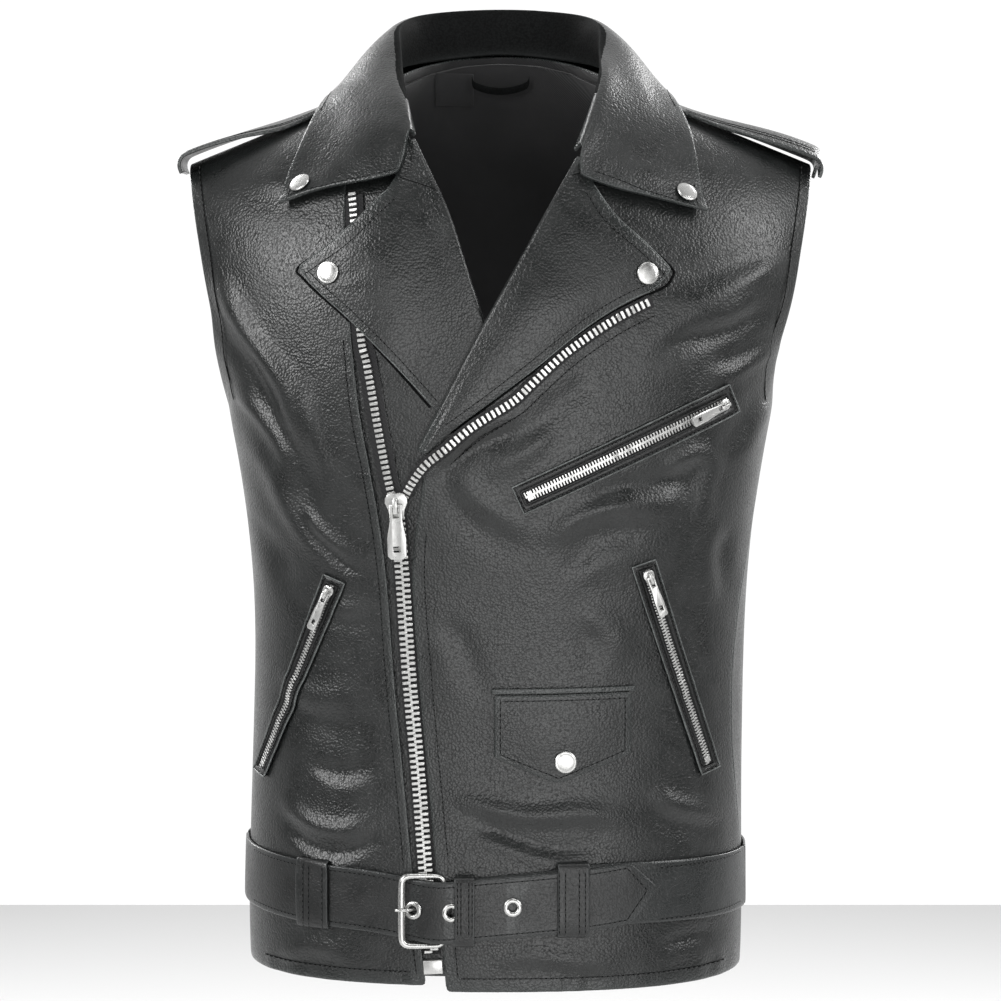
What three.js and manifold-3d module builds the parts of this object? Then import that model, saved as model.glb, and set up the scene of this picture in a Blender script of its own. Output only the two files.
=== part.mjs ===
// A leather motorcycle vest with an asymmetric front zip, worn by nobody: hollow, zipped to the chest,
// with its own belt. Millimetres, +Z up, +X to the wearer's left, the front faces -Y. The origin is
// midway between the two points where the shoulder seams meet the neck.
import * as THREE from "three";
import { mergeVertices } from "three/addons/utils/BufferGeometryUtils.js";
import Module from "manifold-3d";

const wasm = await Module();
wasm.setup();

// Driving sizes of the body
const ARMPIT_Z = -226;
const HEM_Z = -603;
const HEM_LEFT_Z = -607;
const NECK_X = 75;
const NECK_CENTRE_Z = 62;
const SHOULDER_SLOPE = 0.405;
const NECK_DROP = 4;
const NECK_DROP_REACH = 12;
const NECK_SLOPE = 0.74;
const ARMHOLE_X = 186.5;
const ARMHOLE_FLARE = 25;
const BACK_WALL = 2;
const FRONT_WALL = 1.8;
const FACING_LIFT = -2.5;
const FACING_WALL = 1.6;
const SEAM = 0.3;
// How far each chain stands in from its pocket's ends and its slot's edges, and how thick it is
const CHAIN_INSET = 4.6;
const SLOT_GAP = 1.3;
const POCKET_CHAIN_HEIGHT = 1.7;
const REST = 0.8;
const WELT_REST = 1.1;
const LINING_GAP = 2.4;
const OVERLAP_LIFT = 3.6;

// Level sections of the vest below the armholes
const SECTIONS = [
  { z: -607, half: 170.2, shift: -3.5, front: 117, back: 104 },
  { z: -566, half: 171.2, shift: -3.4, front: 116, back: 102 },
  { z: -520, half: 170.4, shift: -3.0, front: 113, back: 98 },
  { z: -450, half: 169.2, shift: -1.8, front: 110, back: 93 },
  { z: -380, half: 168.8, shift: -0.3, front: 111, back: 94 },
  { z: -330, half: 171.0, shift: 0, front: 114, back: 98 },
  { z: -285, half: 176.0, shift: 0, front: 118, back: 104 },
  { z: -250, half: 181.5, shift: 0, front: 120.5, back: 109 },
  { z: ARMPIT_Z, half: ARMHOLE_X, shift: 0, front: 121, back: 110 },
];

// How square each half of a section is, how full it is up to the shoulder, and how much of the depth
// its armhole takes
const FACES = {
  front: { sign: -1, square: 2.45, full: 2.3, depth: 121, armhole: 0.53, flare: 0 },
  back: { sign: 1, square: 2.3, full: 3, depth: 110, armhole: 0.585, flare: 5 },
};

// The largest folds: a ridge or trough from one point to another, seen from the front or back
const FOLDS = [
  { face: "front", x1: -188, z1: -150, x2: -118, z2: -268, width: 15, height: 3.4 },
  { face: "front", x1: -184, z1: -196, x2: -104, z2: -306, width: 12, height: -2.6 },
  { face: "front", x1: -176, z1: -236, x2: -100, z2: -322, width: 10, height: 1.8 },
  { face: "front", x1: 182, z1: -140, x2: 84, z2: -205, width: 15, height: 3 },
  { face: "front", x1: 190, z1: -164, x2: 112, z2: -192, width: 13, height: -1.8 },
  { face: "front", x1: 58, z1: -298, x2: 128, z2: -300, width: 11, height: 2.2 },
  { face: "front", x1: 10, z1: -482, x2: 112, z2: -500, width: 9, height: 1.8 },
  { face: "front", x1: -150, z1: -488, x2: -84, z2: -506, width: 9, height: 1.8 },
  { face: "front", x1: -136, z1: -424, x2: -84, z2: -440, width: 13, height: -1.4 },
  { face: "back", x1: -184, z1: -140, x2: -70, z2: -250, width: 16, height: 3.4 },
  { face: "back", x1: -176, z1: -200, x2: -60, z2: -296, width: 13, height: -2.8 },
  { face: "back", x1: 182, z1: -150, x2: 84, z2: -262, width: 15, height: 3 },
  { face: "back", x1: 170, z1: -214, x2: 66, z2: -310, width: 12, height: -2.4 },
  { face: "back", x1: -120, z1: -470, x2: 30, z2: -486, width: 11, height: 2.6 },
  { face: "back", x1: -20, z1: -452, x2: 130, z2: -462, width: 11, height: -2.2 },
  { face: "back", x1: -130, z1: -424, x2: -10, z2: -432, width: 12, height: -1.8 },
  { face: "back", x1: -50, z1: -20, x2: 50, z2: -20, width: 12, height: -1.6 },
];

// Front edges, top to bottom: x at each height
const PLACKET_EDGE = [
  { z: -607, x: -49 },
  { z: -523, x: -59 },
  { z: -479, x: -63 },
  { z: -406, x: -70 },
  { z: -324, x: -76 },
  { z: -269, x: -84 },
  { z: -227, x: -92 },
  { z: -170, x: -98 },
  { z: -100, x: -102 },
  { z: -40, x: -101 },
  { z: 10, x: -98 },
];
const RIGHT_ROLL = [
  { z: -607, x: -12 },
  { z: -300, x: 0 },
  { z: -195, x: -3 },
  { z: -155, x: -17 },
  { z: -128, x: -26 },
  { z: -93, x: -37 },
  { z: -76, x: -45 },
  { z: -41, x: -62 },
  { z: 0, x: -75 },
  { z: 10, x: -76 },
];
const LEFT_EDGE = [
  { z: -607, x: -36 },
  { z: -522, x: -43 },
  { z: -457, x: -49 },
  { z: -398, x: -54 },
  { z: -333, x: -58.5 },
  { z: -300, x: -57 },
  { z: -280, x: -51.5 },
  { z: -264, x: -49.5 },
  { z: -250, x: -50 },
  { z: -218, x: -34 },
  { z: -181, x: -15 },
  { z: -140, x: 8 },
  { z: -111, x: 24 },
  { z: -82, x: 40 },
  { z: -54, x: 54 },
  { z: -30, x: 63 },
  { z: 0, x: 75 },
  { z: 10, x: 76 },
];
// The side seam under the wearer's left arm swings forward: degrees from the centre front
const LEFT_SEAM = [
  { z: -607, angle: 82 },
  { z: -522, angle: 78 },
  { z: -460, angle: 68 },
  { z: -391, angle: 67 },
  { z: -313, angle: 77 },
  { z: -262, angle: 86 },
  { z: ARMPIT_Z, angle: 90 },
];

const LEATHER = new THREE.MeshStandardMaterial({ color: 0x25292a, roughness: 0.5, metalness: 0 });
const LINING = new THREE.MeshStandardMaterial({ color: 0x0a0a0b, roughness: 0.8, metalness: 0 });
const CHROME = new THREE.MeshStandardMaterial({ color: 0xd8d9da, roughness: 0.18, metalness: 1 });
const TEETH = new THREE.MeshStandardMaterial({ color: 0xc4c6c8, roughness: 0.3, metalness: 1 });

const group = new THREE.Group();

function clamp(value, low, high) {
  return Math.min(high, Math.max(low, value));
}

function ease(from, to, value) {
  const t = clamp((value - from) / (to - from), 0, 1);
  return t * t * (3 - 2 * t);
}

function bell(value, middle, width) {
  return Math.exp(-(((value - middle) / width) ** 2));
}

function smoothCurve(points) {
  return new THREE.CatmullRomCurve3(points, false, "centripetal");
}

// A smooth line through the rows of a table, read at a place along one of its columns
function read(table, place, column, along = "z") {
  const last = table.length - 1;
  const at = clamp(place, table[0][along], table[last][along]);
  let i = 0;
  while (i < last - 1 && table[i + 1][along] <= at) i++;
  const slope = (k) => {
    const a = Math.max(k - 1, 0);
    const b = Math.min(k + 1, last);
    return (table[b][column] - table[a][column]) / (table[b][along] - table[a][along]);
  };
  const step = table[i + 1][along] - table[i][along];
  const t = (at - table[i][along]) / step;
  return (
    (2 * t ** 3 - 3 * t ** 2 + 1) * table[i][column] +
    (t ** 3 - 2 * t ** 2 + t) * step * slope(i) +
    (3 * t ** 2 - 2 * t ** 3) * table[i + 1][column] +
    (t ** 3 - t ** 2) * step * slope(i + 1)
  );
}

// Height of the line that the shoulder seams lie on, carried on over the open neck
function ridge(x) {
  const out = Math.abs(x) - NECK_X;
  if (out >= 0) return -SHOULDER_SLOPE * out - NECK_DROP * (1 - Math.exp(-out / NECK_DROP_REACH));
  const t = Math.abs(x) / NECK_X;
  return (2 * t ** 3 - 3 * t ** 2 + 1) * NECK_CENTRE_Z - (t ** 3 - t ** 2) * NECK_SLOPE * NECK_X;
}

// The armhole's edge at a share of the way up from the armpit to the shoulder seam
function armholeX(face, share, side) {
  const narrow = face === "front" && side > 0 ? 5.5 * bell(share, 0.2, 0.16) : 0;
  const blade = FACES[face].flare * Math.sin(Math.PI * share) ** 2;
  return ARMHOLE_X + ARMHOLE_FLARE * share ** 1.1 + blade - narrow;
}

// Half width that a section above the armpit would have if the armhole were not cut out of it
function upperHalf(face, share, side) {
  const { square, armhole } = FACES[face];
  const cutIn = armhole * Math.sqrt(1 - (1 - share) ** 3);
  return armholeX(face, share, side) / (1 - cutIn ** square) ** (1 / square);
}

// A point of the outer face before any fold. The level is in millimetres below the armpit where it
// is negative, and a share of the quarter turn up to the shoulder seam where it is positive. The
// angle goes round from the centre front, 90 at the wearer's left side and 180 at the centre back.
function form(level, angle) {
  const side = Math.sign(angle) || 1;
  const face = Math.abs(angle) <= 90 ? "front" : "back";
  const { sign, square, full, depth } = FACES[face];
  const turn = THREE.MathUtils.degToRad(face === "front" ? Math.abs(angle) : 180 - Math.abs(angle));
  const across = side * Math.sin(turn) ** (2 / square);
  const forward = sign * Math.max(Math.cos(turn), 0) ** (2 / square);
  if (level <= 0) {
    const z = ARMPIT_Z + level;
    const x = read(SECTIONS, z, "shift") + read(SECTIONS, z, "half") * across;
    return new THREE.Vector3(x, forward * read(SECTIONS, z, face), z);
  }
  const rise = (level * Math.PI) / 2;
  const share = Math.sin(rise) ** (2 / full);
  const x = upperHalf(face, share, side) * across;
  const y = depth * forward * Math.max(Math.cos(rise), 0) ** (2 / full);
  return new THREE.Vector3(x, y, ARMPIT_Z + (ridge(x) - ARMPIT_Z) * share);
}

function formNormal(level, angle) {
  const stepUp = level > 0 ? 0.004 : 0.5;
  const low = level > 0 ? Math.max(level - stepUp, 0.0001) : level - stepUp;
  const high = level > 0 ? Math.min(level + stepUp, 1) : Math.min(level + stepUp, 0);
  const face = Math.abs(angle) <= 90 ? 0 : 90 * Math.sign(angle);
  const ends = face ? [Math.min(face, face * 2), Math.max(face, face * 2)] : [-90, 90];
  const left = clamp(angle - 0.3, ends[0], ends[1]);
  const right = clamp(angle + 0.3, ends[0], ends[1]);
  const up = form(high, angle).sub(form(low, angle));
  const round = form(level, right).sub(form(level, left));
  return round.cross(up).normalize();
}

function foldHeight(point) {
  const face = point.y < 0 ? "front" : "back";
  let height = 0;
  for (const f of FOLDS) {
    if (f.face !== face) continue;
    const dx = f.x2 - f.x1;
    const dz = f.z2 - f.z1;
    const long = Math.hypot(dx, dz);
    const along = ((point.x - f.x1) * dx + (point.z - f.z1) * dz) / long;
    const off = ((point.x - f.x1) * dz - (point.z - f.z1) * dx) / long;
    const inside = ease(-0.1, 0.25, along / long) * ease(1.1, 0.7, along / long);
    height += f.height * inside * bell(off, 0, f.width);
  }
  return height * clamp(Math.abs(point.y) / 40, 0, 1);
}

// A point at a height over the folded outer face
function skin(level, angle, lift) {
  const base = form(level, angle);
  return base.addScaledVector(formNormal(level, angle), lift + foldHeight(base));
}

// Level and angle of the point of a face that is at x and z when seen from the front
function whereIs(face, x, z) {
  const side = Math.sign(x) || 1;
  const { square, full } = FACES[face];
  let level;
  let across;
  if (z <= ARMPIT_Z) {
    level = z - ARMPIT_Z;
    across = (x - read(SECTIONS, z, "shift")) / read(SECTIONS, z, "half");
  } else {
    const share = clamp((z - ARMPIT_Z) / (ridge(x) - ARMPIT_Z), 0, 1);
    level = (Math.asin(share ** (full / 2)) * 2) / Math.PI;
    across = x / upperHalf(face, share, side);
  }
  const turn = THREE.MathUtils.radToDeg(Math.asin(clamp(Math.abs(across), 0, 1) ** (square / 2)));
  const signed = Math.sign(across) * turn;
  return { level, angle: face === "front" ? signed : (Math.sign(across) || 1) * (180 - turn) };
}

// The wearer's left front rides up a little where it crosses the other lapel
function crossing(x, z) {
  const high = ease(-264, -236, z) * ease(-118, -156, z);
  return OVERLAP_LIFT * high * bell(Math.max(x - read(LEFT_EDGE, z, "x") - 24, 0), 0, 42);
}

function onFront(x, z, lift) {
  const { level, angle } = whereIs("front", x, z);
  return skin(level, angle, lift);
}

function onLeftFront(x, z, lift) {
  return onFront(x, z, lift + crossing(x, z));
}

// Angle of the point of a level row that lies at an x which depends on the height
function angleAt(face, level, edge) {
  let low = -89.99;
  let high = 89.99;
  const turned = (a) => (face === "front" ? a : (Math.sign(a) || 1) * (180 - Math.abs(a)));
  for (let i = 0; i < 40; i++) {
    const middle = (low + high) / 2;
    const p = form(level, turned(middle));
    if (p.x < edge(p.z)) low = middle;
    else high = middle;
  }
  return turned(low);
}

function armholeAngle(face, level, side) {
  const { square, full } = FACES[face];
  const share = Math.sin((level * Math.PI) / 2) ** (2 / full);
  const across = armholeX(face, share, side) / upperHalf(face, share, side);
  const turn = THREE.MathUtils.radToDeg(Math.asin(across ** (square / 2)));
  return side * (face === "front" ? turn : 180 - turn);
}

// Angles that cut a row of the form into equal lengths
function evenAngles(level, from, to, count) {
  const fine = 90;
  const angles = [];
  const lengths = [0];
  let before = null;
  for (let i = 0; i <= fine; i++) {
    const angle = from + ((to - from) * i) / fine;
    const p = form(level, angle > 180 ? angle - 360 : angle);
    if (before) lengths.push(lengths[i - 1] + p.distanceTo(before));
    angles.push(angle);
    before = p;
  }
  const even = [];
  let k = 0;
  for (let j = 0; j < count; j++) {
    const want = (lengths[fine] * j) / (count - 1);
    while (k < fine - 1 && lengths[k + 1] < want) k++;
    const part = (want - lengths[k]) / (lengths[k + 1] - lengths[k]);
    const angle = angles[k] + (angles[k + 1] - angles[k]) * part;
    even.push(angle > 180 ? angle - 360 : angle);
  }
  return even;
}

// Row levels, closer together just over the armpit where the armhole turns
function levels(bottom, below, above, top = 1) {
  const rows = [];
  for (let i = 0; i <= below; i++) rows.push((bottom - ARMPIT_Z) * (1 - i / below));
  for (let i = 1; i <= above; i++) rows.push(top * (i / above) ** 1.35);
  return rows;
}

function geometryFrom(points, faces) {
  const geometry = new THREE.BufferGeometry();
  geometry.setAttribute("position", new THREE.Float32BufferAttribute(points.flatMap((p) => p.toArray()), 3));
  geometry.setIndex(faces.flat());
  return geometry;
}

// A closed wall between two grids of points, the outer one seen from outside
function wall(outer, inner) {
  const rows = outer.length;
  const cols = outer[0].length;
  const points = [...outer.flat(), ...inner.flat()];
  const back = rows * cols;
  const faces = [];
  const quad = (a, b, c, d) => faces.push([a, b, c], [a, c, d]);
  for (let i = 0; i < rows - 1; i++)
    for (let j = 0; j < cols - 1; j++) {
      const a = i * cols + j;
      quad(a, a + 1, a + cols + 1, a + cols);
      quad(back + a, back + a + cols, back + a + cols + 1, back + a + 1);
    }
  for (let i = 0; i < rows - 1; i++) {
    const left = i * cols;
    const right = left + cols - 1;
    quad(left, left + cols, back + left + cols, back + left);
    quad(right + cols, right, back + right, back + right + cols);
  }
  for (let j = 0; j < cols - 1; j++) {
    const top = (rows - 1) * cols + j;
    quad(j + 1, j, back + j, back + j + 1);
    quad(top, top + 1, back + top + 1, back + top);
  }
  return facingOut(geometryFrom(points, faces));
}

function facingOut(geometry) {
  const solid = asSolid(geometry);
  if (solid.volume() > 0) return geometry;
  const index = geometry.index.array;
  for (let i = 0; i < index.length; i += 3) [index[i + 1], index[i + 2]] = [index[i + 2], index[i + 1]];
  return geometry;
}

// A wall of even thickness, half of it each side of a grid of points
function sheet(grid, thickness) {
  const rows = grid.length;
  const cols = grid[0].length;
  const normals = grid.map((row, i) =>
    row.map((_, j) => {
      const up = grid[Math.min(i + 1, rows - 1)][j].clone().sub(grid[Math.max(i - 1, 0)][j]);
      const along = grid[i][Math.min(j + 1, cols - 1)].clone().sub(grid[i][Math.max(j - 1, 0)]);
      return along.cross(up).normalize();
    }),
  );
  const lifted = (p, normal, lift) => p.clone().addScaledVector(normal, lift);
  const moved = (lift) => grid.map((row, i) => row.map((p, j) => lifted(p, normals[i][j], lift)));
  return wall(moved(thickness / 2), moved(-thickness / 2));
}

function bare(geometry) {
  const copy = geometry.clone();
  copy.deleteAttribute("normal");
  copy.deleteAttribute("uv");
  return mergeVertices(copy, 1e-4);
}

function asSolid(geometry) {
  const merged = bare(geometry);
  return new wasm.Manifold(
    new wasm.Mesh({
      numProp: 3,
      vertProperties: new Float32Array(merged.attributes.position.array),
      triVerts: new Uint32Array(merged.index.array),
    }),
  );
}

function fromSolid(solid) {
  const mesh = solid.getMesh();
  const geometry = new THREE.BufferGeometry();
  geometry.setAttribute("position", new THREE.BufferAttribute(new Float32Array(mesh.vertProperties), 3));
  geometry.setIndex(new THREE.BufferAttribute(new Uint32Array(mesh.triVerts), 1));
  return geometry;
}

function joined(...geometries) {
  return fromSolid(geometries.map(asSolid).reduce((a, b) => a.add(b)));
}

function cut(geometry, ...cutters) {
  return fromSolid(cutters.map(asSolid).reduce((a, b) => a.subtract(b), asSolid(geometry)));
}

function add(name, geometry, material, parent = group) {
  const finished = geometry.clone();
  finished.computeVertexNormals();
  const mesh = new THREE.Mesh(finished, material);
  mesh.name = name;
  parent.add(mesh);
  return mesh;
}

// Panels

function panel(rows, anglesOf, outerLift, thickness, extra = () => 0) {
  const outer = [];
  const inner = [];
  for (const level of rows) {
    const angles = anglesOf(level);
    const lift = angles.map((a) => {
      const p = form(level, a);
      return outerLift + extra(p.x, p.z);
    });
    outer.push(angles.map((a, j) => skin(level, a, lift[j])));
    inner.push(angles.map((a, j) => skin(level, a, lift[j] - thickness)));
  }
  return wall(outer, inner);
}

// Pull an angle back from an edge by half a seam
function shy(level, angle, direction) {
  const reach = form(level, angle).distanceTo(form(level, angle - direction * 0.2)) / 0.2;
  return angle - (direction * SEAM) / 2 / Math.max(reach, 0.5);
}

function leftSeamAngle(level) {
  return read(LEFT_SEAM, ARMPIT_Z + level, "angle");
}

// How near the front and back rows come to the shoulder seam
const TOP_LEVEL = { front: 0.9997, back: 0.99997 };

function frontRight() {
  const anglesOf = (level) => {
    const inner = angleAt("front", level, (z) => read(PLACKET_EDGE, z, "x"));
    const outer = level > 0 ? armholeAngle("front", level, -1) : shy(level, -90, -1);
    return evenAngles(level, outer, inner, 12);
  };
  return panel(levels(HEM_Z, 14, 10, TOP_LEVEL.front), anglesOf, 0, FRONT_WALL);
}

function rightFacing() {
  const anglesOf = (level) => {
    const outer = angleAt("front", level, (z) => read(PLACKET_EDGE, z, "x") - 7);
    const inner = angleAt("front", level, (z) => read(RIGHT_ROLL, z, "x"));
    return evenAngles(level, outer, inner, 6);
  };
  return panel(levels(HEM_Z + 6, 12, 10, TOP_LEVEL.front), anglesOf, FACING_LIFT, FACING_WALL);
}

function frontLeft() {
  const anglesOf = (level) => {
    const inner = angleAt("front", level, (z) => read(LEFT_EDGE, z, "x"));
    const outer = level > 0 ? armholeAngle("front", level, 1) : shy(level, leftSeamAngle(level), 1);
    return evenAngles(level, inner, outer, 16);
  };
  const rows = levels(HEM_Z, 14, 10, TOP_LEVEL.front);
  rows[0] = HEM_LEFT_Z - ARMPIT_Z;
  return panel(rows, anglesOf, 0, FRONT_WALL, crossing);
}

// The back neck seam rises from the side neck points to the centre back
function neckTop(x) {
  return 17 * (1 - (Math.abs(x) / NECK_X) ** 2.4);
}

function backRows(anglesOf, outerLift, thickness, bottom, below, above, lower) {
  const rows = levels(bottom, below, above, TOP_LEVEL.back);
  const outer = [];
  const inner = [];
  for (const level of rows) {
    const points = anglesOf(level).map((angle) => {
      const p = form(level, angle);
      if (level <= 0 || Math.abs(p.x) >= NECK_X) return { level, angle };
      const share = level / TOP_LEVEL.back;
      const high = share ** 4;
      const z = ARMPIT_Z + (p.z - ARMPIT_Z) * (1 - high) + (neckTop(p.x) - lower - ARMPIT_Z) * high;
      return whereIs("back", p.x, Math.min(z, neckTop(p.x) - lower));
    });
    outer.push(points.map((q) => skin(q.level, q.angle, outerLift)));
    inner.push(points.map((q) => skin(q.level, q.angle, outerLift - thickness)));
  }
  return wall(outer, inner);
}

function back() {
  const anglesOf = (level) => {
    if (level > 0) {
      const left = armholeAngle("back", level, 1);
      const right = armholeAngle("back", level, -1);
      return evenAngles(level, left, right + 360, 23);
    }
    return evenAngles(level, shy(level, leftSeamAngle(level), -1), shy(level, -90, 1) + 360, 23);
  };
  return backRows(anglesOf, 0, BACK_WALL, HEM_Z, 14, 10, 0);
}

function backLining() {
  const anglesOf = (level) => {
    const margin = 7;
    if (level > 0) {
      const left = armholeAngle("back", level, 1) + margin;
      const right = armholeAngle("back", level, -1) - margin;
      return evenAngles(level, left, right + 360, 15);
    }
    return evenAngles(level, 90 + margin, 270 - margin, 15);
  };
  return backRows(anglesOf, -BACK_WALL - LINING_GAP, 1, HEM_Z + 16, 10, 8, 3);
}

// A patch between a top line, a roll line, an outer line and a bottom line, all in x and z
function lineThrough(points) {
  const curve = smoothCurve(points.map(([x, z]) => new THREE.Vector3(x, 0, z)));
  return (t) => curve.getPointAt(clamp(t, 0, 1));
}

function patch(top, bottom, roll, outer, u, v) {
  const mix = (a, b, t) => a.clone().lerp(b, t);
  const ends = mix(roll(u), outer(u), v);
  const sides = mix(top(v), bottom(v), u);
  const corners = mix(mix(top(0), top(1), v), mix(bottom(0), bottom(1), v), u);
  return ends.add(sides).sub(corners);
}

const LAPEL_WALL = 2;
const ROLL_GAP = 2;
const LAPELS = {
  right: {
    top: [[-61, -45], [-67, -72], [-70, -77], [-84, -90], [-104, -109], [-131, -128]],
    outer: [[-131, -128], [-130, -133], [-121, -142], [-98, -162], [-71, -189], [-43, -220], [-27, -238]],
    roll: [[-61, -45], [-45, -77], [-37, -94], [-26, -129], [-17, -156], [-4, -195]],
    bottom: [[-4, -195], [-27, -238]],
    sign: -1,
    place: onFront,
    under: () => FACING_LIFT - FACING_WALL / 2,
    over: (x) => -0.5 + 3.6 * ease(-56, -76, x),
    bulge: 3.2,
    ease: (x) => ease(-36, -66, x),
  },
  left: {
    top: [[54, -58], [60, -76], [73, -95], [94, -113], [111, -129]],
    outer: [
      [111, -129], [112, -133], [106, -140], [81, -151], [55, -167],
      [22, -193], [-7, -215], [-33, -234], [-45, -245], [-51.5, -253],
    ],
    roll: [[54, -58], [49, -67], [40, -82], [24, -111], [8, -140], [-15, -181], [-34, -218], [-53.5, -254]],
    bottom: [[-53.5, -254], [-51.5, -253]],
    sign: 1,
    place: onLeftFront,
    under: () => -FRONT_WALL / 2,
    over: (x) => 2.6 - 0.9 * ease(-38, -54, x),
    bulge: 3.4,
    ease: () => 1,
  },
};

// A lapel's middle surface: u runs down the roll line, v out to the edge, and below 0 round the roll
function lapelPoint(side, u, v) {
  const l = LAPELS[side];
  const lines = [l.top, l.bottom, l.roll, l.outer].map(lineThrough);
  const flat = patch(...lines, u, Math.max(v, 0));
  const start = patch(...lines, u, 0);
  const along = patch(...lines, Math.min(u + 0.02, 1), 0).sub(patch(...lines, Math.max(u - 0.02, 0), 0));
  const toward = new THREE.Vector3(-along.z, 0, along.x).multiplyScalar(l.sign).normalize();
  const low = l.under();
  const puff = l.bulge * Math.sin(Math.PI * clamp(v, 0, 1)) ** 0.8 * (1 - 0.75 * u);
  const high = l.over(flat.x) + puff * l.ease(flat.x);
  if (v >= 0) return l.place(flat.x, flat.z, high);
  const turn = -v * Math.PI;
  const radius = (l.over(start.x) - low) / 2;
  const out = start.clone().addScaledVector(toward, -ROLL_GAP - radius * Math.sin(turn) * 1.1);
  return l.place(out.x, out.z, low + radius * (1 + Math.cos(turn)));
}

function lapel(side) {
  const across = [-1, -0.72, -0.45, -0.2, 0.0, 0.14, 0.3, 0.45, 0.6, 0.75, 0.88, 1];
  const rows = 11;
  const grid = [];
  for (let i = 0; i < rows; i++) {
    const u = (i / (rows - 1)) * (side === "left" ? 0.97 : 1);
    grid.push(across.map((v) => lapelPoint(side, u, v)));
  }
  return sheet(grid, LAPEL_WALL);
}

// The collar: from the neck seam up to the roll and down to the fall's edge, station by station
const COLLAR_WALL = 2.6;
const COLLAR_POINTS = ["seam", "roll", "near", "far", "edge"];
const COLLAR = [
  [[-56.5, -84, -42], [-60, -88, -38], [-67, -104, -66], [-108, -96, -74], [-147, -86, -86]],
  [[-62, -60, -22], [-62, -72, -24], [-78, -86, -42], [-108, -85, -58], [-138, -68, -69]],
  [[-67.5, -31, -6], [-66, -28, -2], [-84, -50, -14], [-107, -56, -31], [-127, -48, -44]],
  [[-72.4, 2, 3], [-69, 6, 21], [-86, -6, 12], [-104, -14, -5], [-119, -18, -16]],
  [[-68, 34, 7.5], [-70, 38, 36], [-86, 32, 26], [-100, 24, 8], [-113, 16, -13]],
  [[-42, 66, 14], [-53, 82, 46], [-65, 86, 34], [-78, 72, 12], [-90, 56, -11]],
  [[0, 79.4, 18.4], [0, 93, 50], [0, 103, 40], [0, 104, 20], [0, 100, -5]],
  [[42, 66, 14], [53, 82, 46], [65, 86, 34], [78, 72, 12], [89, 56, -11]],
  [[68, 34, 7.5], [69, 38, 36], [85, 32, 26], [99, 24, 8], [111, 16, -12]],
  [[72.4, 2, 3], [68, 6, 20], [86, -6, 11], [102, -14, -5], [117, -18, -15]],
  [[65, -38, -10], [67.5, -44, -2], [83, -55, -19], [104, -60, -37], [124, -50, -48]],
  [[57.5, -68, -31], [58.5, -83, -33], [69, -90, -50], [102, -88, -64], [130, -74, -74]],
  [[48.5, -92, -52], [53, -95.5, -47.5], [52.5, -108.5, -67.5], [96, -101, -80.5], [137, -92, -91]],
];
const COLLAR_CURVES = COLLAR_POINTS.map((_, i) => smoothCurve(COLLAR.map((row) => new THREE.Vector3(...row[i]))));

// The fall is held off the shoulders, and further off where a shoulder strap runs under it
function collarPoint(u, v) {
  const section = COLLAR_CURVES.map((curve) => curve.getPoint(u));
  const p = smoothCurve(section).getPoint(v);
  if (v < 0.26) return p;
  const { level, angle } = whereIs(p.y < 0 ? "front" : "back", p.x, p.z);
  const out = formNormal(level, angle);
  const height = p.clone().sub(skin(level, angle, 0)).dot(out);
  const least = 3.2 + 2.6 * bell(Math.abs(p.x), 126, 20) * bell(p.y, -8, 34);
  return p.addScaledVector(out, Math.max(0, least - height) * ease(0.25, 0.36, v));
}

function collar() {
  const across = [0, 0.1, 0.19, 0.25, 0.31, 0.4, 0.5, 0.62, 0.75, 0.88, 1];
  const rows = 29;
  const grid = [];
  for (let i = 0; i < rows; i++) grid.push(across.map((v) => collarPoint(i / (rows - 1), v)));
  return sheet(grid, COLLAR_WALL);
}

// Shoulder straps: lifted off the shoulder, the outer end turned down round the armhole's edge
const STRAP_WALL = 2.6;
const STRAPS = {
  right: { side: -1, inner: 1.9, outer: 7.4, arch: 0.8 },
  left: { side: 1, inner: 2.4, outer: 13, arch: 9.4 },
};
const STRAP_STATIONS = [112, 124, 136, 148, 160, 172, 184, 196, 206, 212];
const STRAP_TURN = [
  { out: 216.4, down: 3.4 },
  { out: 218, down: 7.6 },
  { out: 217.4, down: 11.4 },
  { out: 216, down: 14.4 },
];

function shoulderZ(x, y) {
  const face = y < 0 ? "front" : "back";
  let low = -140;
  let high = ridge(x);
  for (let i = 0; i < 30; i++) {
    const middle = (low + high) / 2;
    const { level, angle } = whereIs(face, x, middle);
    if (Math.abs(form(level, angle).y) > Math.abs(y)) low = middle;
    else high = middle;
  }
  return low;
}

function strap(name) {
  const { side, inner, outer, arch } = STRAPS[name];
  const columns = [-1, -0.5, 0, 0.5, 1];
  const spot = (x, c) => {
    const y = -8 + c * (25 - 5 * ease(160, 112, x));
    const share = ease(118, 206, x);
    const sag = 5 * bell(x, 146, 16) * ease(0.2, -1, c);
    const gap = inner + (outer - inner) * share - arch * share * c * c - (name === "right" ? sag * 0.4 : 0);
    const body = shoulderZ(side * x, y);
    const flat = ridge(side * x) * share + body * (1 - share);
    return new THREE.Vector3(side * x, y, Math.max(flat + gap, body + inner));
  };
  const grid = STRAP_STATIONS.map((x) => columns.map((c) => spot(x, c)));
  for (const turn of STRAP_TURN)
    grid.push(
      columns.map((c) => {
        const top = spot(212, c);
        return new THREE.Vector3(side * (turn.out - 1.2 * c * c), top.y, top.z - turn.down + 1.2);
      }),
    );
  return sheet(grid, STRAP_WALL);
}

// Strips that lie on a front

function stripAlong(points, count) {
  const curve = smoothCurve(points.map(([x, z, lift = 0]) => new THREE.Vector3(x, lift, z)));
  const stations = [];
  for (let i = 0; i < count; i++) {
    const p = curve.getPointAt(i / (count - 1));
    const t = curve.getTangentAt(i / (count - 1));
    const flat = Math.hypot(t.x, t.z);
    stations.push({ x: p.x, z: p.z, lift: p.y, ax: t.z / flat, az: -t.x / flat });
  }
  return stations;
}

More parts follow.
